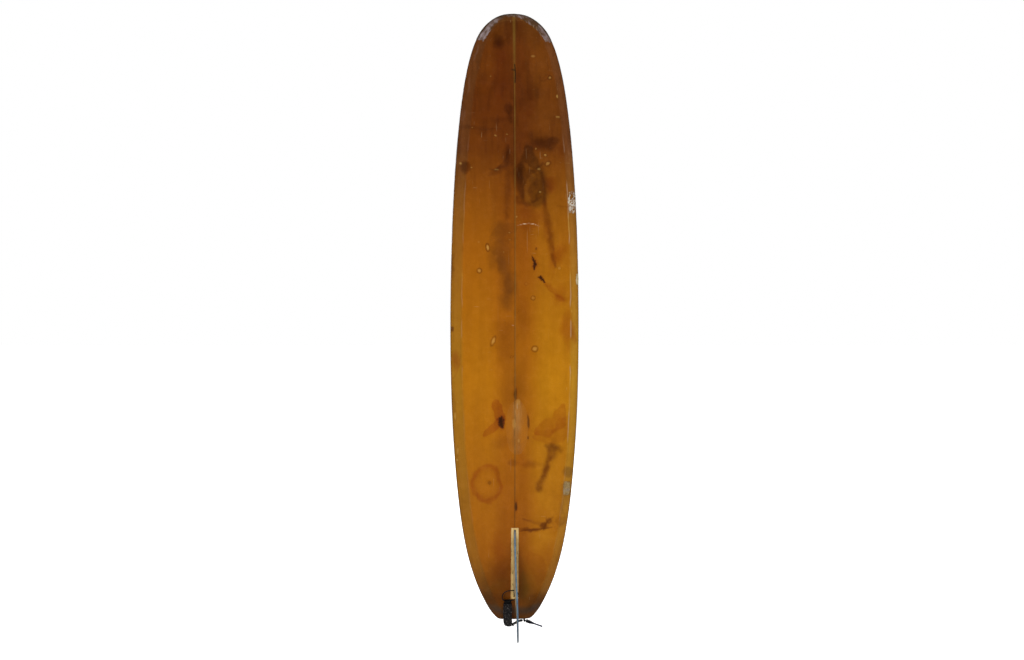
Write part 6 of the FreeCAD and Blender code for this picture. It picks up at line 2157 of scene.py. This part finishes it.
def strap_hem(strap_end):
    """The loop the string runs through: webbing turned back on itself."""
    centre = fin_mm(HEM_BACK, 0, HEM_HIGH)
    start = math.atan2(strap_end[1] - centre[1], strap_end[2] - centre[2])
    turn = np.linspace(0.0, 2 * np.pi, 150)[:-1]
    angle, arc = start + turn, turn * HEM_OUTER
    middle = (HEM_OUTER + HEM_INNER) / 2
    rings = []
    for x in np.linspace(-HEM_HALF_WIDTH, HEM_HALF_WIDTH, 96):
        inward = min(1.0, (HEM_HALF_WIDTH - abs(x)) / 0.9)
        full = math.sqrt(max(0.0, 1 - (1 - inward) ** 2))       # rounds the hem's edges
        for rim, sign in ((HEM_OUTER, 1), (HEM_INNER, -1)):
            radius = (middle + (rim - middle) * (0.25 + 0.75 * full)
                      + sign * 0.10 * twill(arc + abs(x)) * full)
            if sign > 0:
                radius = radius + 0.22 * fbm(arc, arc * 0 + x, 14, seed=951)
            rings.append(np.stack([np.full(len(arc), STRAP_X + x),
                                   centre[1] + np.sin(angle) * radius,
                                   centre[2] + np.cos(angle) * radius], axis=1))
    index = np.arange(len(rings) * len(arc)).reshape(-1, 2, len(arc))
    faces = (grid_faces(index[:, 0], wrap_j=True)
             + grid_faces(index[:, 1], wrap_j=True, flip=True)
             + grid_faces(index[0], wrap_j=True, flip=True)
             + grid_faces(index[-1], wrap_j=True))
    verts = np.concatenate(rings)
    piece = new_object("hem", verts / 1000.0, faces)
    face_outwards(piece)
    tone = 0.9 + 0.35 * fbm(verts[:, 0] * 2, verts[:, 2] * 2 + verts[:, 1], 30, octaves=4,
                            seed=961)
    set_paint(piece, np.clip(tone, 0, 3)[:, None], 0.6)
    return piece


EAR_INNER, EAR_OUTER = 4.35, 12.0   # each ear's faces, from the clip's centre
EAR_HALF = (EAR_OUTER - EAR_INNER) / 2
# columns: radius, offset along the pin
EAR_SECTION = [(2.05, -EAR_HALF + 0.3), (2.35, -EAR_HALF), (4.1, -EAR_HALF),
               (4.6, -EAR_HALF + 0.6), (4.6, EAR_HALF - 0.6), (4.1, EAR_HALF),
               (2.35, EAR_HALF), (2.05, EAR_HALF - 0.3)]


def clip_ear(side):
    """A moulded ring on one side of the swivel eye; its hole runs along y."""
    middle = CLIP_Y + side * (EAR_INNER + EAR_OUTER) / 2
    angles = np.linspace(0, 2 * np.pi, 48, endpoint=False)
    rings = np.array([[(CLIP_X + radius * np.cos(angle), middle + offset,
                        CLIP_ALONG + radius * np.sin(angle)) for angle in angles]
                      for radius, offset in EAR_SECTION]) + BASE
    index = np.arange(len(EAR_SECTION) * 48).reshape(-1, 48)
    piece = new_object("ear", rings.reshape(-1, 3) / 1000.0,
                       grid_faces(index, wrap_j=True, wrap_i=True))
    face_outwards(piece)
    set_paint(piece, 0.9, 0.5)
    return piece


strap_scale = 1.0
strap_ribbon = lay_ribbon(STRAP_ROWS, int(420 * strap_scale))
band = strap_band(strap_ribbon, int(150 * strap_scale))
thread = strap_stitching(strap_ribbon)
hem = strap_hem(strap_ribbon.centre[0])
strap = join("saver_strap", band, hem, clip_ear(-1), clip_ear(1))
shade_smooth(strap)


# ------------------------------------------------------------------ padded flap over the webbing
def inflate(piece, pin):
    """Blow the pad up a little by a short cloth run, held where it is sewn."""
    group = piece.vertex_groups.new(name="sewn")
    for i in range(5):
        low, high = i / 5, (i + 1) / 5
        chosen = np.where((pin > low) & (pin <= high))[0]
        if len(chosen):
            group.add([int(vertex) for vertex in chosen], high, "REPLACE")
    cloth = piece.modifiers.new("cloth", "CLOTH")
    settings = cloth.settings
    settings.quality = 6
    settings.mass = 0.15
    settings.tension_stiffness = settings.compression_stiffness = 12
    settings.shear_stiffness = 4
    settings.bending_stiffness = 0.05
    settings.shrink_min = -0.10
    settings.use_pressure = True
    settings.uniform_pressure_force = 3.0
    settings.effector_weights.gravity = 0
    settings.vertex_group_mass = "sewn"
    cloth.collision_settings.use_collision = False
    cloth.collision_settings.use_self_collision = False
    cloth.point_cache.frame_start, cloth.point_cache.frame_end = 1, 20
    for number in range(1, 19):
        bpy.context.scene.frame_set(number)
    apply_modifiers(piece)
    bpy.context.scene.frame_set(1)
    piece.vertex_groups.clear()


def flap_cloth():
    """A pad of looped pile, swollen under its own stitching and creased; and its stitches."""
    ribbon = lay_ribbon(FLAP_ROWS, 60)
    out = 1.0 if ribbon.normal[10][1] < 0 else -1.0
    rows, columns = ((130, 54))
    total = ribbon.run[-1]
    run = np.linspace(0, total, rows)
    part = np.linspace(-1, 1, columns)
    centre, across, normal, size = (sample(run, ribbon.run, table) for table in ribbon[:4])
    normal = normal * out
    to_end = np.minimum(run, total - run)
    corner = 1 - np.clip(to_end / 5.0, 0, 1)
    half = size[:, 0] / 2 - 5.0 * (1 - np.sqrt(np.clip(1 - corner ** 2, 0, 1)))
    x = half[:, None] * part[None, :]
    sheet = centre[:, None, :] + across[:, None, :] * x[..., None]
    rest = np.array([sheet + normal[:, None, :] * level for level in (0.75, -0.75)])
    rest = rest.reshape(-1, 3)
    index = np.arange(len(rest)).reshape(2, rows, columns)
    faces = grid_faces(index[0]) + grid_faces(index[1], flip=True)
    for rim in (index[:, 0, :], index[:, -1, :], index[:, :, 0], index[:, :, -1]):
        faces += grid_faces(rim)
    piece = new_object("flap_pad", rest / 1000.0, faces)
    face_outwards(piece)

    # the same quantities for every vertex of both layers
    run_at = np.tile(run[None, :, None], (2, 1, columns)).ravel()
    x_at = np.tile(x[None], (2, 1, 1)).ravel()
    part_at = np.tile(np.abs(part), 2 * rows)
    normal_at = np.tile(normal[None, :, None, :], (2, 1, columns, 1)).reshape(-1, 3)
    upper = np.repeat([1.0, 0.0], rows * columns)
    end_at = np.minimum(run_at, total - run_at)
    pin = np.maximum(smooth(0.84, 0.97, part_at), smooth(3.2, 0.8, end_at))
    pin = np.maximum(pin, 1 - upper)
    # a few soft creases, so that the cloth has somewhere to fold
    crease = (1 - pin) * (0.5 * fbm(run_at, x_at, 15, seed=971))
    set_coords(piece, coords(piece) + normal_at * crease[:, None] / 1000)
    inflate(piece, pin)
    # keep the swelling within bounds, then add the pile
    moved = coords(piece) * 1000 - rest
    height = np.sum(moved * normal_at, axis=1)
    sideways = moved - normal_at * height[:, None]
    length = np.linalg.norm(sideways, axis=1)
    sideways = sideways * np.minimum(1, 0.8 / np.maximum(length, 1e-9))[:, None]
    peak = np.percentile(np.abs(height), 98) + 1e-6
    height = np.clip(height * min(1.0, 2.4 / peak), -0.3, 2.6)
    pile = (0.16 * noise(run_at, x_at, 1.5, seed=981) + 0.95 * fbm(run_at, x_at, 8, seed=982)
            + 0.5 * np.abs(fbm(run_at, x_at, 13, octaves=2, seed=983)))
    lift = (height + pile) * upper
    set_coords(piece, (rest + normal_at * lift[:, None] + sideways) / 1000)
    shade_smooth(piece)
    tone = 1.0 + 0.35 * fbm(run_at, x_at, 12, octaves=4, seed=991)
    # darker along the sewn line: partly pile pressed flat by the seam, partly painted shade in
    # the crease
    tone = tone * (1 - 0.35 * bell(part_at - 0.86, 0.03))
    set_paint(piece, np.clip(tone[:, None] * np.array([1, 0.98, 0.99]), 0, 3),
              np.clip(pin, 0, 1))

    # stitched border
    inset = 2.4
    seam = np.linspace(inset, total - inset, 60)
    seam_half = np.interp(seam, run, half)
    lines = [np.stack([seam, side * (seam_half - inset)], axis=1) for side in (1, -1)]
    for at, edge in ((inset, seam_half[0]), (total - inset, seam_half[-1])):
        lines.append([(at, -edge + 2.6), (at, edge - 2.6)])
    size = ribbon.size.copy()
    size[:, 1] = 2.1
    tubes = stitches(ribbon._replace(size=size), lines, radius=0.3, face=out, lift=0.35)
    return piece, tubes_object("flap_stitching", tubes)


flap, flap_thread = flap_cloth()
place(string, "rope", "string_loop", "string_cord", "leash_string")
place(knot, "rope", "string_loop", "string_cord", "string_knot")
place(strap, "strap", "saver", "saver_webbing", "rail_saver")
place(thread, "thread", "saver", "saver_webbing")
place(flap, "fleece", "saver", "flap_fleece", "saver_flap")
place(flap_thread, "thread", "saver", "flap_fleece")

# ------------------------------------------------------------------ studio (metres)
FLOOR_HALF, FLOOR_Z = 80.0, -0.0015
CAMERA_AT = (-0.245, -3.959, 1.3888)
CAMERA_YAW = -3.30              # degrees
CAMERA_LENS, SENSOR_WIDTH = 31.25, 36.0
CAMERA_SHIFT_Y = -0.0048828125  # share of the sensor width


def studio_floor():
    """A pale floor that glows to the camera and looks dark in reflections."""
    mat = Finish("pale_floor")
    speck = mat.noise(3.0, detail=4)
    rays = mat.add("LightPath").outputs
    pale = mat.ramp(speck, (0.3, (0.93, 0.93, 0.925)), (0.7, (0.96, 0.96, 0.955)))
    material = mat.end(colour=mat.mix(rays["Is Glossy Ray"], pale, (0.05, 0.05, 0.05)),
                       rough=0.9, normal=mat.bumps((mat.noise(60), 0.0002)), spec=0.0,
                       glow=(1, 1, 1, 1), glow_strength=mat.times(rays["Is Camera Ray"], 0.68))
    corners = [(x * FLOOR_HALF, y * FLOOR_HALF, FLOOR_Z)
               for x, y in ((-1, -1), (1, -1), (1, 1), (-1, 1))]
    floor = new_object("studio_floor", corners, [(0, 1, 2, 3)], smooth_faces=False)
    floor.data.materials.append(material)


def studio_world():
    """White to the camera, dim in reflections, soft for everything else."""
    sky = bpy.data.worlds.new("studio")
    bpy.context.scene.world = sky
    sky.use_nodes = True
    nodes, links = sky.node_tree.nodes, sky.node_tree.links
    nodes.clear()

    def background(strength):
        node = nodes.new("ShaderNodeBackground")
        node.inputs[0].default_value = (1, 1, 1, 1)
        node.inputs[1].default_value = strength
        return node.outputs[0]

    def choose(ray, otherwise, when):
        node = nodes.new("ShaderNodeMixShader")
        for i, socket in enumerate((rays[ray], otherwise, when)):
            links.new(socket, node.inputs[i])
        return node.outputs[0]

    output = nodes.new("ShaderNodeOutputWorld")
    rays = nodes.new("ShaderNodeLightPath").outputs
    unseen = choose("Is Glossy Ray", background(0.42), background(0.03))
    links.new(choose("Is Camera Ray", unseen, background(1.0)), output.inputs[0])


def soft_light(name, at, aim, size, watts, colour=(1, 1, 1)):
    lamp = bpy.data.lights.new(name, "AREA")
    lamp.shape, lamp.energy, lamp.color = "RECTANGLE", watts, colour
    lamp.size, lamp.size_y = size
    light = bpy.data.objects.new(name, lamp)
    bpy.context.scene.collection.objects.link(light)
    light.location = at
    light.rotation_mode = "QUATERNION"
    light.rotation_quaternion = (Vector(aim) - Vector(at)).to_track_quat("-Z", "Y")
    light.visible_camera = False
    return light


def studio_lights():
    key = soft_light("key", at=(-3.6, -5.2, 3.4), aim=(0, 0, 1.4), size=(3.2, 4.0), watts=225,
                     colour=(1.0, 0.985, 0.96))
    fill = soft_light("fill", at=(4.6, -4.2, 2.4), aim=(0, 0, 1.3), size=(3.0, 4.0), watts=98,
                      colour=(0.97, 0.985, 1.0))
    key.visible_glossy = fill.visible_glossy = False
    soft_light("back_left", at=(-3.4, 4.6, 3.2), aim=(0, 0.1, 1.4), size=(2.6, 3.4), watts=210)
    soft_light("back_right", at=(3.8, 4.4, 2.6), aim=(0, 0.1, 1.4), size=(2.6, 3.4), watts=150)


def studio_camera():
    lens = bpy.data.cameras.new("camera")
    camera = bpy.data.objects.new("camera", lens)
    scene = bpy.context.scene
    scene.collection.objects.link(camera)
    lens.sensor_width, lens.lens = SENSOR_WIDTH, CAMERA_LENS
    lens.clip_start, lens.clip_end = 0.05, 60
    lens.shift_y = CAMERA_SHIFT_Y
    camera.location = CAMERA_AT
    camera.rotation_euler = (math.radians(90), 0, math.radians(CAMERA_YAW))
    scene.camera = camera
    scene.view_settings.view_transform = "Standard"
    scene.view_settings.look = "None"
    scene.view_settings.exposure = 0.0
    scene.view_settings.gamma = 1.0


studio_floor()
studio_world()
studio_lights()
studio_camera()
